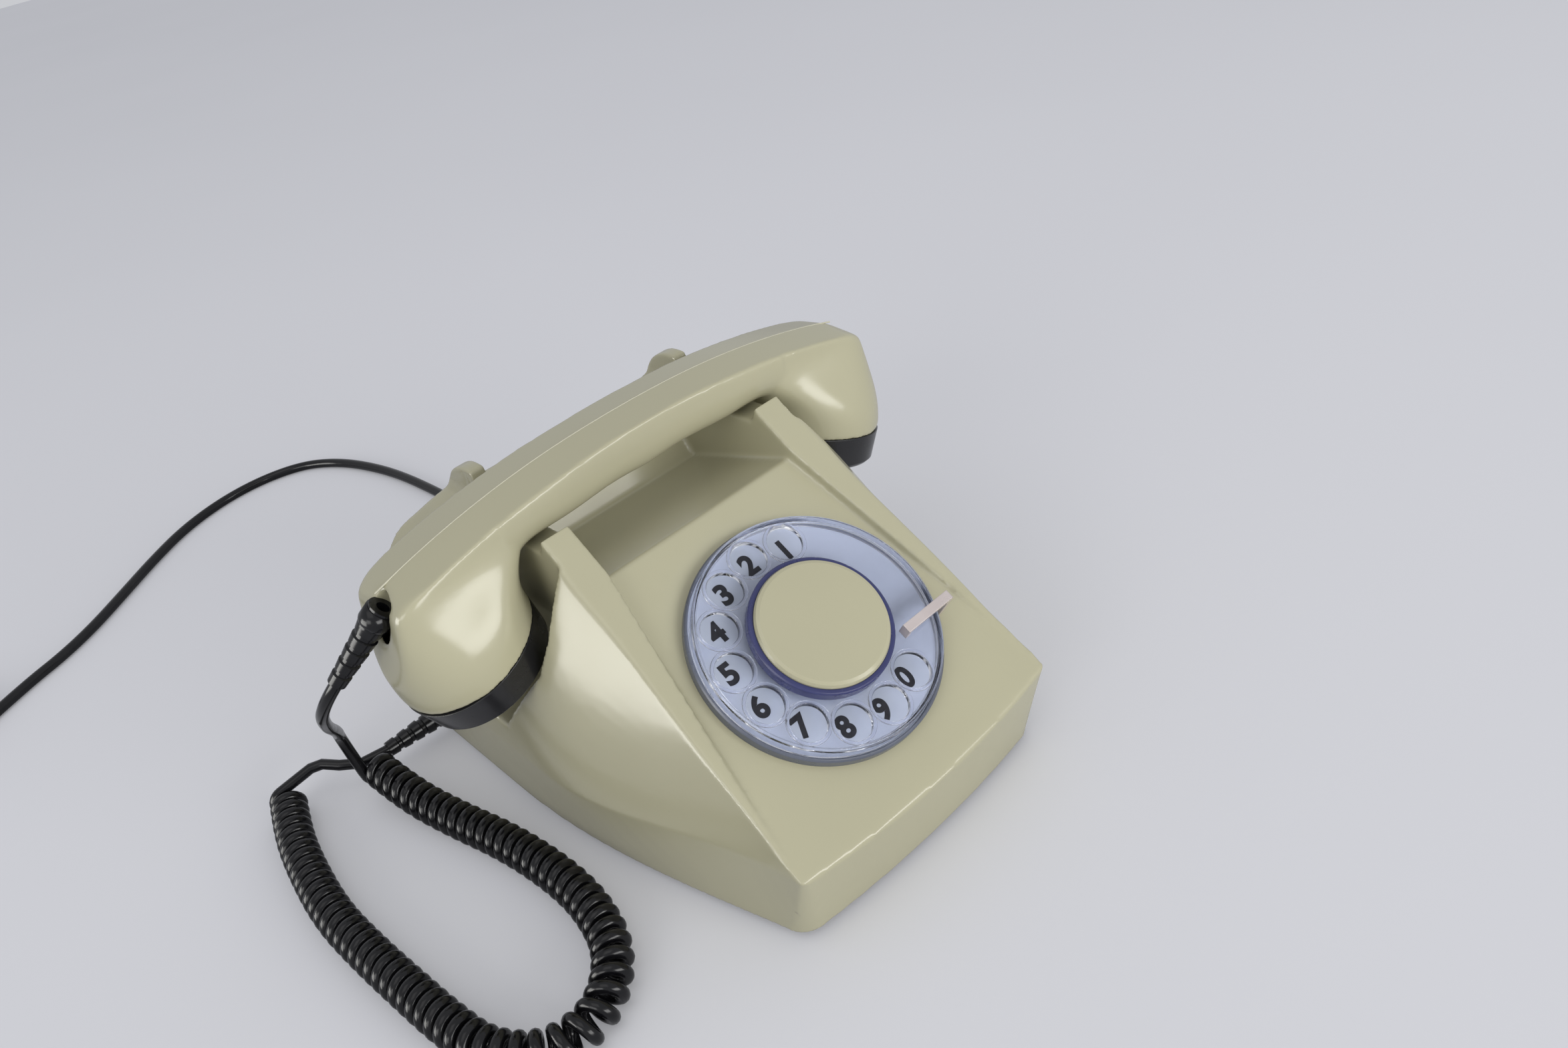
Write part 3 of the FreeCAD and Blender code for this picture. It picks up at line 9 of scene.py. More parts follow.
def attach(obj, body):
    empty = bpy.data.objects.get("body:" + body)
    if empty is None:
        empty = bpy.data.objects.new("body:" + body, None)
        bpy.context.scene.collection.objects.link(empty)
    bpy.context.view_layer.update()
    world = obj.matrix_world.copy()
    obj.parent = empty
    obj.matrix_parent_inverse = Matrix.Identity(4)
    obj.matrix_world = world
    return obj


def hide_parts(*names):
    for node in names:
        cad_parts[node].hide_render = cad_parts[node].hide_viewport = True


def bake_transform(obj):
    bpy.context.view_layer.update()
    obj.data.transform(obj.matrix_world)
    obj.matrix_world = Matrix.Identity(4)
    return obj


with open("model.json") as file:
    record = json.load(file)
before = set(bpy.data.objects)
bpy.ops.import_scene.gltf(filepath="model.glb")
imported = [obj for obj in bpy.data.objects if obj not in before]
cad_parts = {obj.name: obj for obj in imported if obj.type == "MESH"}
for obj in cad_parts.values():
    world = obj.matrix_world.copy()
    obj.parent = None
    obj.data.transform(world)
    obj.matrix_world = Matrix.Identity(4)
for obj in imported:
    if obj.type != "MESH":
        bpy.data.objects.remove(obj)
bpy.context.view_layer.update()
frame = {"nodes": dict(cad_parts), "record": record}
nodes = frame["nodes"]

MM = 0.001
SLOPE = math.radians(35)
LIP = Vector((0, -100, 34))
DIAL_V = 54
CAMERA_PLACE = Vector((-175.2, -299.7, 301.8)) * MM
CAMERA_RIGHT = Vector((0.715, -0.670, -0.201))
CAMERA_UP = Vector((0.499, 0.287, 0.8175))

COIL_ROUTE = [(-108, 88, 6), (-106, 68, 2.5), (-100.5, 44, 0), (-93.8, 16, 0), (-90.7, -11.7, 0), (-91.4, -32, 0),
              (-97, -52, 0), (-112, -65.5, 0), (-130, -64, 0), (-142, -49, 0), (-145.4, -28, 0), (-147.6, -5, 0),
              (-149.4, 15, 0), (-150.7, 41, 0), (-147.6, 70, 0), (-143.4, 92, 0), (-137.5, 110, 0)]
LINE_ROUTE = [(11, 171), (14, 197), (19, 235), (18.9, 271), (16.4, 317), (9.5, 351), (0.4, 374), (-12.7, 390),
              (-34.7, 398), (-59.7, 397), (-85.6, 387), (-108.6, 370), (-131.4, 350), (-152.4, 332),
              (-170.9, 320), (-186.9, 313)]
HANK_CENTRE = Vector((-250, 318, 0))
HANK = {"loops": 7.25, "outer": 38, "pitch": 6, "layer": 5.7}
WIRE, CURL, CURL_GAP, LINE = 2.1, 4.8, 0.7, 2.5
HANDSET_EXIT = Vector((-99.6, 19.8, 109.5))
HANDSET_WAY = Vector((-17.6, 10.4, -19.2)).normalized()
HANDSET_RELIEF, LEAD_OUT = 27, 12
SIDE_TIP = Vector((-99.8, 96, 10.4))
REAR_TIP = Vector((10, 117.4, 12))

# The handset's ridge line and the rounding of its two ends
SEAM_REACH, SEAM_Y, SEAM_DROP = 97, 21, 0.24
RIDGE_TOP, RIDGE_DROP, RIDGE_HALF, RIDGE_POWER = 129.6, 14.6, 101, 2.2
END_ROUND, END_START, END_LOW, END_SPAN = 13, 91.5, 84, 28
BLUNT_START, BLUNT_SPAN, BLUNT_PASSES = 86, 8, 70
# The case's front corners, and the horns behind the handset
CORNER_X, CORNER_Y, CORNER_FOOT, CORNER_LIP, CORNER_BACK = 54.94, -91.99, 3, 34, -60
CORNER_LEAN_X, CORNER_LEAN_Y = 0.0343, -0.26
CORNER_INWARD = Vector((-0.990, -0.142)), Vector((0.215, 0.977))
CORNER_TIGHT, CORNER_WIDER, CORNER_POWER = 3.0, 8.5, 0.7
HORN_X, HORN_Y, HORN_LOW, HORN_TAPER, HORN_SLIMMER = 43, 37, 104, 12, 0.5
# The lips round the finger holes, and the figures on the number plate, in degrees and mm
HOLES, HOLE_STEP, HOLE_START, HOLE_CIRCLE = 10, 25.5, 67.5, 31.6
LIP_BORE, LIP_OUTER, LIP_FOOT, LIP_SHOULDER, LIP_RISE = 6.03, 7.3, 7.02, 7.1, 0.25
LIP_MIDDLE, LIP_HALF, LIP_ARC = 6.665, 0.635, 12
DIGIT_STEP, DIGIT_START, DIGIT_CIRCLE, DIGIT_SIZE, DIGIT_HEIGHT = 25.55, 65.4, 31.2, 10, 1.95
# The lens, in pixels of the photograph, and the sensor in mm
FOCAL_PIXELS, PHOTO_WIDTH, SENSOR = 1804.43, 2346, 36


def panel(u, v, n):
    """A point of the dial panel in mm: across, up the slope from the lip, out of it."""
    return LIP + Vector((u, v * math.cos(SLOPE) - n * math.sin(SLOPE), v * math.sin(SLOPE) + n * math.cos(SLOPE)))


# Materials

class Nodes:
    """A material's node tree, with its shader ready."""

    def __init__(self, name, **values):
        self.material = bpy.data.materials.new(name)
        self.material.use_nodes = True
        self.tree = self.material.node_tree
        self.shader = self.tree.nodes["Principled BSDF"]
        self.place = self.add("ShaderNodeTexCoord").outputs["Object"]
        for key, value in values.items():
            socket = self.shader.inputs[key.replace("_", " ")]
            socket.default_value = (*value, 1) if isinstance(value, tuple) else value

    def add(self, kind, **values):
        node = self.tree.nodes.new(kind)
        for key, value in values.items():
            setattr(node, key, value)
        return node

    def link(self, source, target):
        self.tree.links.new(source, target)

    def noise(self, scale, detail=3.0, rough=0.5, stretch=None):
        node = self.add("ShaderNodeTexNoise")
        node.inputs["Scale"].default_value = scale
        node.inputs["Detail"].default_value = detail
        node.inputs["Roughness"].default_value = rough
        place = self.place
        if stretch:
            mapping = self.add("ShaderNodeMapping")
            mapping.inputs["Scale"].default_value = stretch
            self.link(place, mapping.inputs["Vector"])
            place = mapping.outputs["Vector"]
        self.link(place, node.inputs["Vector"])
        return node.outputs["Fac"]

    def colour(self, source, dark, light, low=0.3, high=0.7):
        """Base colour from one shade to another, as the source goes from low to high."""
        node = self.add("ShaderNodeValToRGB")
        for element, at, shade in zip(node.color_ramp.elements, (low, high), (dark, light)):
            element.position = at
            element.color = (*shade, 1)
        self.link(source, node.inputs["Fac"])
        self.link(node.outputs["Color"], self.shader.inputs["Base Color"])

    def rough(self, source, low, high):
        node = self.add("ShaderNodeMapRange")
        node.inputs["To Min"].default_value = low
        node.inputs["To Max"].default_value = high
        node.inputs["From Min"].default_value = 0.3
        node.inputs["From Max"].default_value = 0.7
        self.link(source, node.inputs["Value"])
        self.link(node.outputs["Result"], self.shader.inputs["Roughness"])

    def bump(self, source, distance, strength=1.0, edge=0.0):
        node = self.add("ShaderNodeBump")
        node.inputs["Distance"].default_value = distance
        node.inputs["Strength"].default_value = strength
        self.link(source, node.inputs["Height"])
        if edge:
            bevel = self.add("ShaderNodeBevel", samples=6)
            bevel.inputs["Radius"].default_value = edge
            self.link(bevel.outputs["Normal"], node.inputs["Normal"])
        self.link(node.outputs["Normal"], self.shader.inputs["Normal"])


def case_plastic():
    """Moulded ivory plastic: faint clouds where it yellowed, and fine moulding grain."""
    m = Nodes("case_plastic", Specular_IOR_Level=0.55)
    m.colour(m.noise(11, 3, 0.5), (0.405, 0.385, 0.262), (0.432, 0.412, 0.280))
    m.rough(m.noise(35, 3, 0.5), 0.17, 0.24)
    m.bump(m.noise(900, 2, 0.5), 0.000004, 0.3)
    return m.material


def black_plastic():
    m = Nodes("black_plastic", Specular_IOR_Level=0.5)
    m.colour(m.noise(40, 3), (0.010, 0.010, 0.011), (0.017, 0.017, 0.019))
    m.rough(m.noise(90, 5), 0.16, 0.30)
    m.bump(m.noise(900, 2), 0.00002, 0.3, 0.0006)
    return m.material


def cord_rubber():
    m = Nodes("cord_rubber", Specular_IOR_Level=0.34)
    m.colour(m.noise(120, 4), (0.004, 0.004, 0.005), (0.008, 0.008, 0.009))
    m.rough(m.noise(260, 4), 0.13, 0.22)
    m.bump(m.noise(700, 3), 0.00001, 0.3)
    return m.material


def foot_rubber():
    m = Nodes("foot_rubber", Specular_IOR_Level=0.35)
    m.colour(m.noise(160, 4), (0.022, 0.021, 0.020), (0.040, 0.038, 0.036))
    m.rough(m.noise(300, 3), 0.65, 0.85)
    m.bump(m.noise(1200, 3), 0.0001, 0.6)
    return m.material


def clear_plastic():
    """Clear moulded plastic, which lets the light through to the plate behind it."""
    m = Nodes("clear_plastic", Base_Color=(0.93, 0.94, 0.985), Transmission_Weight=1.0, IOR=1.49)
    m.rough(m.noise(80, 4), 0.02, 0.07)
    m.bump(m.noise(300, 2), 0.00003, 0.25, 0.0005)
    path = m.add("ShaderNodeLightPath")
    through = m.add("ShaderNodeBsdfTransparent")
    through.inputs["Color"].default_value = (0.93, 0.94, 0.98, 1)
    mix = m.add("ShaderNodeMixShader")
    m.link(path.outputs["Is Shadow Ray"], mix.inputs["Fac"])
    m.link(m.shader.outputs["BSDF"], mix.inputs[1])
    m.link(through.outputs["BSDF"], mix.inputs[2])
    m.link(mix.outputs["Shader"], m.tree.nodes["Material Output"].inputs["Surface"])
    return m.material


def plate_plastic():
    m = Nodes("plate_plastic", Specular_IOR_Level=0.4)
    m.colour(m.noise(30, 3), (0.345, 0.38, 0.46), (0.375, 0.41, 0.49))
    m.rough(m.noise(70, 4), 0.30, 0.42)
    m.bump(m.noise(1000, 2), 0.00002, 0.2)
    return m.material


def tinted_plastic(name, dark, light, low=0.2, high=0.34):
    m = Nodes(name, Specular_IOR_Level=0.5)
    m.colour(m.noise(50, 3), dark, light)
    m.rough(m.noise(90, 4), low, high)
    m.bump(m.noise(900, 2), 0.00002, 0.25, 0.0005)
    return m.material


def metal(name, dark, light, low, high, brushed=(1, 1, 1), grain=600, metallic=1.0):
    m = Nodes(name, Metallic=metallic)
    m.colour(m.noise(70, 4), dark, light)
    m.rough(m.noise(grain, 4, 0.6, brushed), low, high)
    m.bump(m.noise(grain * 2, 2, 0.5, brushed), 0.00002, 0.25, 0.0004)
    return m.material


def winding():
    """Enamelled wire, laid turn by turn."""
    m = Nodes("winding", Metallic=0.6)
    wave = m.add("ShaderNodeTexWave", bands_direction="Z")
    wave.inputs["Scale"].default_value = 700
    wave.inputs["Distortion"].default_value = 0.6
    m.link(m.place, wave.inputs["Vector"])
    m.colour(wave.outputs["Fac"], (0.16, 0.05, 0.02), (0.46, 0.19, 0.07), 0.2, 0.8)
    m.rough(m.noise(200, 3), 0.3, 0.45)
    m.bump(wave.outputs["Fac"], 0.0002, 0.6)
    return m.material


def laminate():
    m = Nodes("laminate", Specular_IOR_Level=0.4)
    m.colour(m.noise(240, 6, 0.7, (1, 6, 1)), (0.16, 0.085, 0.035), (0.26, 0.15, 0.07))
    m.rough(m.noise(200, 3), 0.4, 0.6)
    m.bump(m.noise(900, 3), 0.00005, 0.4)
    return m.material


def ink():
    m = Nodes("digit_ink", Specular_IOR_Level=0.3)
    m.colour(m.noise(400, 3), (0.012, 0.012, 0.016), (0.022, 0.022, 0.028))
    m.rough(m.noise(500, 3), 0.4, 0.55)
    m.bump(m.noise(1500, 2), 0.00001, 0.2)
    return m.material


FINISHES = {
    "case": case_plastic(), "black": black_plastic(), "rubber": cord_rubber(), "feet": foot_rubber(),
    "clear": clear_plastic(), "number_plate": plate_plastic(), "ink": ink(), "winding": winding(),
    "board": laminate(),
    "bezel": tinted_plastic("bezel_plastic", (0.085, 0.095, 0.125), (0.115, 0.128, 0.165)),
    # The collar is a real part, but its dark indigo is painted shade: the shadow gap seen through the clear wheel
    # round the centre disc.
    "collar": tinted_plastic("collar_painted_shade_plastic", (0.028, 0.032, 0.105), (0.036, 0.042, 0.135)),
    "hub": tinted_plastic("hub_plastic", (0.10, 0.11, 0.14), (0.13, 0.14, 0.18)),
    # The seam's colour is lighter than the case's own: a painted highlight along the handset's ridge.
    "seam": tinted_plastic("seam_highlight_plastic", (0.54, 0.52, 0.40), (0.58, 0.56, 0.43), 0.12, 0.2),
    "plunger": tinted_plastic("plunger_plastic", (0.405, 0.385, 0.262), (0.432, 0.412, 0.280)),
    "block": tinted_plastic("block_plastic", (0.02, 0.018, 0.016), (0.035, 0.03, 0.026), 0.35, 0.5),
    "contacts": tinted_plastic("contact_bakelite", (0.13, 0.06, 0.02), (0.2, 0.1, 0.04), 0.35, 0.5),
    "base": tinted_plastic("base_enamel", (0.018, 0.018, 0.018), (0.03, 0.03, 0.03), 0.35, 0.5),
    "stop": metal("stop_metal", (0.60, 0.53, 0.51), (0.68, 0.61, 0.59), 0.22, 0.34, grain=60, metallic=0.45),
    "steel": metal("plated_steel", (0.52, 0.52, 0.53), (0.64, 0.64, 0.65), 0.28, 0.42, (1, 8, 1)),
    "brass": metal("brass", (0.62, 0.45, 0.2), (0.74, 0.57, 0.28), 0.25, 0.4),
    "gong": metal("gong_metal", (0.60, 0.54, 0.40), (0.70, 0.64, 0.50), 0.15, 0.3, (6, 6, 1)),
    "can": metal("can_aluminium", (0.60, 0.60, 0.62), (0.72, 0.72, 0.74), 0.3, 0.42, (1, 8, 1)),
    "capsule": metal("capsule_metal", (0.52, 0.52, 0.53), (0.62, 0.62, 0.63), 0.3, 0.45),
}


def dress(obj, slot):
    """Give a piece its finish."""
    obj.data.materials.clear()
    obj.data.materials.append(FINISHES[slot])
    return obj


for part in frame["record"]["subparts"]:
    dress(nodes[part["node"]], part["material_slot"])


# Moulded pieces with their edges rounded, and the small pieces on them

def link(name, data):
    """A new object of the scene."""
    obj = bpy.data.objects.new(name, data)
    bpy.context.scene.collection.objects.link(obj)
    return obj


def settled(obj):
    """The mesh of an object with its modifiers applied."""
    bpy.context.view_layer.update()
    mesh = bpy.data.meshes.new_from_object(obj.evaluated_get(bpy.context.evaluated_depsgraph_get()))
    obj.modifiers.clear()
    return mesh


def round_ends(mesh):
    """Bring the top of the handset's two ends down in a curve."""
    for vertex in mesh.vertices:
        x, y, z = vertex.co / MM
        reach = min((abs(x) - END_START) / END_ROUND, 1.0)
        if reach > 0:
            drop = END_ROUND * (1 - math.sqrt(1 - reach * reach))
            vertex.co.z -= drop * min(max((z - END_LOW) / END_SPAN, 0.0), 1.0) * MM


def soften(obj, name, passes):
    smooth = obj.modifiers.new(name, "SMOOTH")
    smooth.factor = 0.5
    smooth.iterations = passes
    return smooth


def rounded(name, node, body, cell, passes, keep, blunt=False):
    """A copy of a moulded piece with soft edges, and with blunt ends if asked, in the piece's place."""
    obj = link(name, nodes[node].data.copy())
    cells = obj.modifiers.new("cells", "REMESH")
    cells.mode = "VOXEL"
    cells.voxel_size = cell * MM
    soften(obj, "soften", passes)
    if blunt:
        obj.data = settled(obj)
        round_ends(obj.data)
        ends = obj.vertex_groups.new(name="ends")
        for vertex in obj.data.vertices:
            share = (abs(vertex.co.x) / MM - BLUNT_START) / BLUNT_SPAN
            if share > 0:
                ends.add([vertex.index], min(share, 1.0), "REPLACE")
        soften(obj, "ends", BLUNT_PASSES).vertex_group = "ends"
    fewer = obj.modifiers.new("fewer", "DECIMATE")
    fewer.ratio = keep
    obj.data = settled(obj)
    obj.data.shade_smooth()
    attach(obj, body)
    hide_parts(node)
    return obj


def round_corners(obj):
    """Round the case's front corners, widely at the foot and hardly at the lip."""
    middle = (CORNER_INWARD[0] + CORNER_INWARD[1]).normalized()
    half = CORNER_INWARD[0].angle(CORNER_INWARD[1]) / 2
    for vertex in obj.data.vertices:
        z = vertex.co.z / MM
        if z > CORNER_LIP or vertex.co.y > CORNER_BACK * MM:
            continue
        side = 1 if vertex.co.x > 0 else -1
        radius = CORNER_TIGHT + CORNER_WIDER * ((CORNER_LIP - z) / (CORNER_LIP - CORNER_FOOT)) ** CORNER_POWER
        rise = z - CORNER_FOOT
        corner = Vector((CORNER_X + CORNER_LEAN_X * rise, CORNER_Y + CORNER_LEAN_Y * rise))
        reach = radius / math.tan(half)
        away = Vector((side * vertex.co.x, vertex.co.y)) / MM - corner
        centre = middle * (radius / math.sin(half))
        out = away - centre
        if all(away.dot(inward) < reach for inward in CORNER_INWARD) and out.length > radius:
            place = corner + centre + out.normalized() * radius
            vertex.co.x, vertex.co.y = side * place.x * MM, place.y * MM


def narrow_horns(obj):
    """Taper the horns behind the handset to slim round tips."""
    for vertex in obj.data.vertices:
        x, y, z = vertex.co / MM
        if z > HORN_LOW and y > HORN_Y:
            t = min((z - HORN_LOW) / HORN_TAPER, 1.0)
            share = 1 - HORN_SLIMMER * t * t * (3 - 2 * t)
            vertex.co.x = math.copysign(HORN_X + (abs(x) - HORN_X) * share, x) * MM


case = rounded("case_moulding", "housing", "base", 0.8, 8, 0.35)
round_corners(case)
narrow_horns(case)
dress(case, "case")
grip = rounded("handset_moulding", "handset_shell", "handset", 0.6, 10, 0.4, blunt=True)
dress(grip, "case")


def lathe(profile, steps, name):
    """A ring or disc about Z, turned from a closed profile of (radius, height) in mm."""
    bm = bmesh.new()
    rows = []
    for i in range(steps):
        a = 2 * math.pi * i / steps
        rows.append([bm.verts.new(Vector((r * math.cos(a), r * math.sin(a), h)) * MM) for r, h in profile])
    for row, after in zip(rows, rows[1:] + rows[:1]):
        for j in range(len(profile)):
            k = (j + 1) % len(profile)
            bm.faces.new((row[j], after[j], after[k], row[k]))
    bmesh.ops.recalc_face_normals(bm, faces=bm.faces)
    mesh = bpy.data.meshes.new(name)
    bm.to_mesh(mesh)
    bm.free()
    return link(name, mesh)


def make_seam():
    """The fine raised line where the two halves of the handset's mould met."""
    points = []
    for i in range(81):
        x = SEAM_REACH * (i / 40 - 1)
        points.append((x, SEAM_Y, RIDGE_TOP - RIDGE_DROP * abs(x / RIDGE_HALF) ** RIDGE_POWER - SEAM_DROP))
    seam = thicken(spline("handset_seam", points), 0.3, 3, 3)
    # The seam is dressed lighter than the case, as a painted highlight along the ridge.
    dress(seam, "seam")
    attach(seam, "handset")


def make_grommet():
    """The rubber ring that fills the handset's cord hole round the sleeve."""
    ring = [(3.6, -3), (5.0, -3), (5.2, 1.6), (4.9, 2.6), (4.3, 3.0), (3.6, 3.0)]
    grommet = lathe(ring, 48, "handset_grommet")
    turn = HANDSET_WAY.to_track_quat("Z", "Y").to_matrix().to_4x4()
    grommet.data.transform(Matrix.Translation(HANDSET_EXIT * MM) @ turn)
    grommet.data.shade_smooth()
    dress(grommet, "rubber")
    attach(grommet, "handset")


def make_lips():
    """The raised clear lips round the finger holes, which the plain solid of the wheel leaves out."""
    place = Matrix.Translation(panel(0, DIAL_V, 0) * MM) @ Matrix.Rotation(SLOPE, 4, "X")
    profile = [(LIP_BORE, LIP_FOOT), (LIP_OUTER, LIP_FOOT)]
    for i in range(LIP_ARC + 1):
        a = math.pi * i / LIP_ARC
        profile.append((LIP_MIDDLE + LIP_HALF * math.cos(a), LIP_SHOULDER + LIP_RISE * math.sin(a)))
    for i in range(HOLES):
        angle = math.radians(HOLE_START + HOLE_STEP * i)
        lip = lathe(profile, 48, "hole_lip_%d" % (i + 1))
        spot = Matrix.Translation(Vector((HOLE_CIRCLE * math.cos(angle), HOLE_CIRCLE * math.sin(angle), 0)) * MM)
        lip.data.transform(place @ spot)
        dress(lip, "clear")
        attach(lip, "dial")


make_grommet()
make_lips()


# Cords

def spline(name, points):
    """A curve of one open NURBS spline through the space of its control points, in mm."""
    data = bpy.data.curves.new(name, "CURVE")
    data.dimensions = "3D"
    line = data.splines.new("NURBS")
    line.points.add(len(points) - 1)
    for point, place in zip(line.points, points):
        point.co = (*(Vector(place) * MM), 1)
    line.order_u = 3
    line.use_endpoint_u = True
    return link(name, data)


def line_of(obj, steps=24):
    """The points of a curve's own line, in mm."""
    data = obj.data
    bevel, resolution = data.bevel_depth, data.splines[0].resolution_u
    data.bevel_depth, data.splines[0].resolution_u = 0, steps
    mesh = settled(obj)
    points = [v.co / MM for v in mesh.vertices]
    bpy.data.meshes.remove(mesh)
    data.bevel_depth, data.splines[0].resolution_u = bevel, resolution
    return points


def thicken(obj, radius, resolution=4, steps=6):
    """Give a line its thickness, by its points' radius, which Blender adds to the curve's box."""
    obj.data.bevel_depth = 1.0
    for point in obj.data.splines[0].points:
        point.radius = radius * MM
    obj.data.bevel_resolution = resolution
    obj.data.splines[0].resolution_u = steps
    obj.data.use_fill_caps = True
    return obj


class Path:
    """A line of points that can be asked for its place and direction at any distance."""

    def __init__(self, points):
        self.points = [p for p, q in zip(points, points[1:]) if (q - p).length > 1e-6] + [points[-1]]
        self.at = [0.0]
        for p, q in zip(self.points, self.points[1:]):
            self.at.append(self.at[-1] + (q - p).length)
        self.length = self.at[-1]

    def __call__(self, s):
        s = min(max(s, 0.0), self.length)
        low, high = 0, len(self.at) - 1
        while high - low > 1:
            middle = (low + high) // 2
            low, high = (middle, high) if self.at[middle] <= s else (low, middle)
        share = (s - self.at[low]) / max(self.at[high] - self.at[low], 1e-9)
        return self.points[low].lerp(self.points[high], share)

    def way(self, s, reach=1.5):
        return (self(s + reach) - self(s - reach)).normalized()

    def bend(self, s, reach=6.0):
        s = min(max(s, reach * 2), self.length - reach * 2)
        return (self.way(s + reach) - self.way(s - reach)).length / (2 * reach)


def curls(path, last_phase, per_turn=14):
    """The curly cord's own points, turn by turn, close on the inside of its bends."""
    count = 2400
    phases = [0.0]
    for i in range(count):
        s = path.length * (i + 0.5) / count
        phases.append(phases[-1] + path.length / count * (1 - CURL * path.bend(s)) / (2 * WIRE + CURL_GAP))
    turns = math.floor(phases[-1]) + last_phase
    stretch = phases[-1] / turns
    points, low = [], 0
    total = int(turns * per_turn)
    for i in range(total + 1):
        turn = turns * i / total
        while low < count - 1 and phases[low + 1] < turn * stretch:
            low += 1
        share = (turn * stretch - phases[low]) / (phases[low + 1] - phases[low])
        s = path.length * (low + share) / count
        centre, along = path(s), path.way(s)
        side = along.cross(Vector((0, 0, 1))).normalized()
        angle = 2 * math.pi * turn
        points.append(centre + side * (CURL * math.cos(angle)) - Vector((0, 0, 1)) * (CURL * math.sin(angle)))
    return points


def hank_point(turn):
    """A point of the line cord's coil, which winds inward, steps up a layer and winds out again."""
    inward = min(turn, HANK["loops"] - turn)
    radius = HANK["outer"] - HANK["pitch"] * inward
    t = min(max((turn - HANK["loops"] / 2 + 0.25) / 0.5, 0.0), 1.0)
    angle = math.radians(-53) - 2 * math.pi * turn
    rise = LINE + 0.1 + HANK["layer"] * t * t * (3 - 2 * t)
    return HANK_CENTRE + Vector((radius * math.cos(angle), radius * math.sin(angle), rise))


def make_curly_cord():
    """The curly cord from the case's sleeve to the foot of the handset's lead."""
    level = CURL + WIRE + 0.1
    route = spline("curly_route", [(x, y, level + rise) for x, y, rise in COIL_ROUTE])
    path = Path(line_of(route))
    bpy.data.objects.remove(route)
    points = curls(path, 0.75)
    top, down = points[0], (points[1] - points[0]).normalized()
    down = Vector((0, 0, -1)).lerp(down, 0.3).normalized()
    foot, out = points[-1], (points[-1] - points[-2]).normalized()
    hang = top - down * 4 * WIRE
    end = foot + out * 4 * WIRE
    back = [SIDE_TIP, SIDE_TIP - Vector((12.5, 0, 0)), end + out * 8, end]
    cord = thicken(spline("curly_cord", back + points[::-1] + [hang]), WIRE, 4, 2)
    dress(cord, "rubber")
    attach(cord, "base")
    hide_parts("curly_cord", "base_lead")
    length = Path(line_of(cord, 4)).length * MM
    make_handset_lead(hang, down)


def make_handset_lead(hang, down):
    """The plain lead from the coils up to the handset."""
    tip = HANDSET_EXIT + HANDSET_WAY * HANDSET_RELIEF
    route = spline("handset_lead_route", [tip, tip + HANDSET_WAY * LEAD_OUT, (-121.5, 56, 62), (-115.6, 78, 43),
                                          hang - down * LEAD_OUT, hang])
    path = line_of(route, 12)
    thicken(route, WIRE, 5, 12)
    mesh = settled(route)
    lead = link("handset_lead", mesh)
    bpy.data.objects.remove(route)
    mesh.shade_smooth()
    dress(lead, "rubber")
    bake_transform(lead)
    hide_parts("handset_lead")
    round(Path(path).length * MM, 3)


def make_line_cord():
    """The line cord from the back of the case, through its coil, to the plug."""
    per_turn = 16
    count = int(HANK["loops"] * per_turn)
    coil = [hank_point(HANK["loops"] * i / count) for i in range(count + 1)]
    into = (hank_point(0.001) - coil[0]).normalized()
    away = (coil[-1] - hank_point(HANK["loops"] - 0.001)).normalized()
    flat = Vector((away.x, away.y, 0)).normalized()
    side = Vector((flat.y, -flat.x, 0))
    start = coil[-1] + away * 5
    drop = Vector((0, 0, LINE + 0.05 - start.z))
    points = [REAR_TIP, REAR_TIP + Vector((0, 14, 0)), REAR_TIP + Vector((0.3, 30, -6))]
    points += [Vector((x, y, LINE + 0.05)) for x, y in LINE_ROUTE]
    points += [coil[0] - into * 18, coil[0] - into * 5] + coil
    points += [start, start + flat * 9, start + flat * 22 + drop + Vector((0, 0, 1.2)),
               start + flat * 38 - side * 3 + drop, start + flat * 56 - side * 10 + drop]
    cord = thicken(spline("line_cord", points), LINE, 5, 8)
    dress(cord, "rubber")
    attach(cord, "base")
    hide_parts("line_cord", "line_cord_coil", "plug_lead")
    length = Path(line_of(cord, 8)).length * MM


make_seam()
make_curly_cord()
make_line_cord()


# Digits of the number plate

def make_digits():
    turn = Matrix.Rotation(SLOPE, 4, "X")
    for i, text in enumerate("1234567890"):
        angle = math.radians(DIGIT_START + DIGIT_STEP * i)
        place = panel(DIGIT_CIRCLE * math.cos(angle), DIAL_V + DIGIT_CIRCLE * math.sin(angle), DIGIT_HEIGHT)
        data = bpy.data.curves.new("figure", "FONT")
        data.body = text
        data.size = DIGIT_SIZE * MM
        data.align_x = data.align_y = "CENTER"
        data.offset = 0.42 * MM
        data.extrude = 0.03 * MM
        data.resolution_u = 6
        figure = link("figure", data)
        obj = link("digit_" + text, settled(figure))
        bpy.data.objects.remove(figure)
        obj.data.transform(Matrix.Translation(place * MM) @ turn)
        dress(obj, "ink")
        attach(obj, "base")


make_digits()


# Floor, light and camera

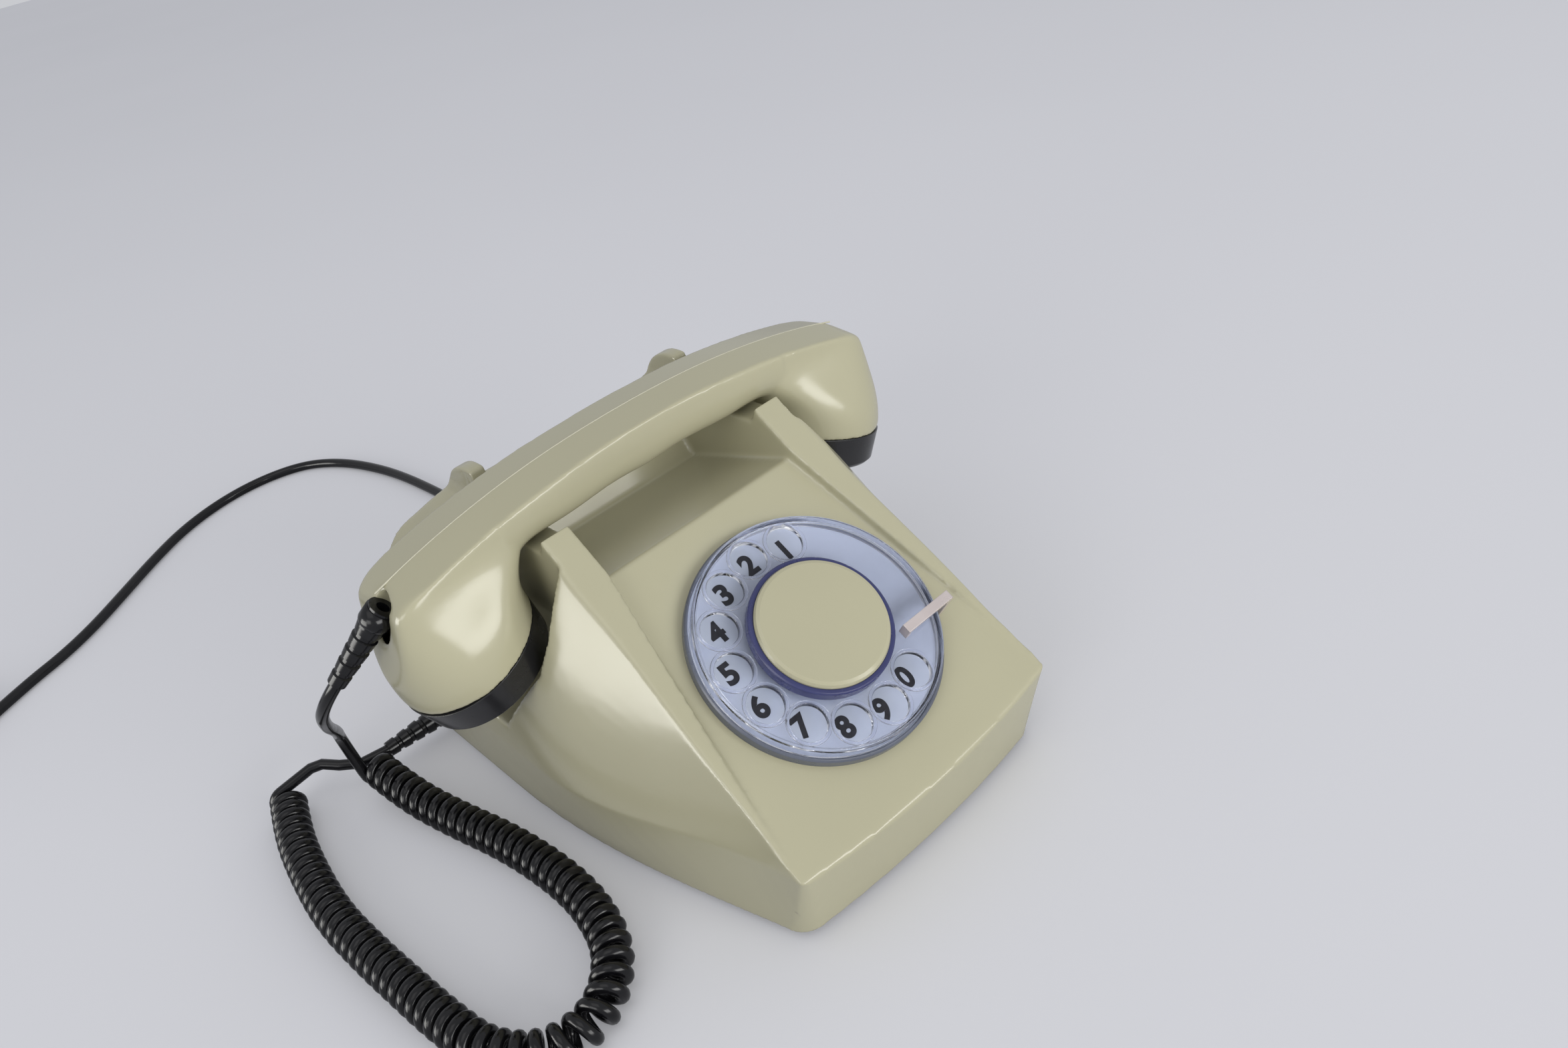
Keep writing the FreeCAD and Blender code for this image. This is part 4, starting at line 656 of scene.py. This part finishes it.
def make_floor():
    mesh = bpy.data.meshes.new("floor")
    reach = 6.0
    mesh.from_pydata([(-reach, -reach, 0), (reach, -reach, 0), (reach, reach, 0), (-reach, reach, 0)], [],
                     [(0, 1, 2, 3)])
    floor = link("floor", mesh)
    m = Nodes("floor_paper", Specular_IOR_Level=0.0, Emission_Color=(0.60, 0.603, 0.63))
    m.colour(m.noise(2.0, 2), (0.570, 0.573, 0.600), (0.580, 0.583, 0.610))
    m.rough(m.noise(40, 3), 0.45, 0.55)
    seen = m.add("ShaderNodeLightPath")
    level = m.add("ShaderNodeMath", operation="MULTIPLY")
    level.inputs[1].default_value = 0.22
    m.link(seen.outputs["Is Camera Ray"], level.inputs[0])
    m.link(level.outputs["Value"], m.shader.inputs["Emission Strength"])
    mesh.materials.append(m.material)


def area_light(name, place, target, size, energy, colour=(1, 1, 1)):
    data = bpy.data.lights.new(name, "AREA")
    data.shape = "RECTANGLE"
    data.size, data.size_y = size
    data.energy = energy
    data.color = colour
    light = link(name, data)
    way = (Vector(target) - Vector(place)).normalized()
    light.matrix_world = Matrix.Translation(place) @ way.to_track_quat("-Z", "Y").to_matrix().to_4x4()
    return light


def make_light():
    world = bpy.data.worlds.new("studio")
    bpy.context.scene.world = world
    world.use_nodes = True
    back = world.node_tree.nodes["Background"]
    back.inputs["Color"].default_value = (0.94, 0.955, 1.0, 1)
    back.inputs["Strength"].default_value = 0.62
    area_light("key", (-0.5, -0.5, 2.0), (0, 0, 0.05), (1.4, 1.4), 4, (1.0, 0.985, 0.955))
    area_light("front", (0.38, -2.6, 0.62), (0, 0, 0.06), (2.2, 1.0), 42, (1.0, 0.995, 0.98))
    window = area_light("window", (-1.15, 0.3, 0.28), (-0.05, -0.03, 0.08), (0.8, 0.5), 9, (1.0, 0.99, 0.95))
    window.visible_diffuse = False
    area_light("side", (-2.5, -1.0, 1.2), (-0.05, -0.03, 0.06), (1.5, 1.1), 15, (1.0, 0.99, 0.97))


def make_camera():
    data = bpy.data.cameras.new("camera")
    data.sensor_width = SENSOR
    data.lens = FOCAL_PIXELS / PHOTO_WIDTH * SENSOR
    data.clip_start, data.clip_end = 0.01, 50
    camera = link("camera", data)
    right = CAMERA_RIGHT.normalized()
    back = right.cross(CAMERA_UP).normalized()
    up = back.cross(right)
    turn = Matrix((right, up, back)).transposed().to_4x4()
    camera.matrix_world = Matrix.Translation(CAMERA_PLACE) @ turn
    bpy.context.scene.camera = camera


make_floor()
make_light()
make_camera()
bpy.context.scene.view_settings.view_transform = "Standard"

bpy.context.view_layer.update()
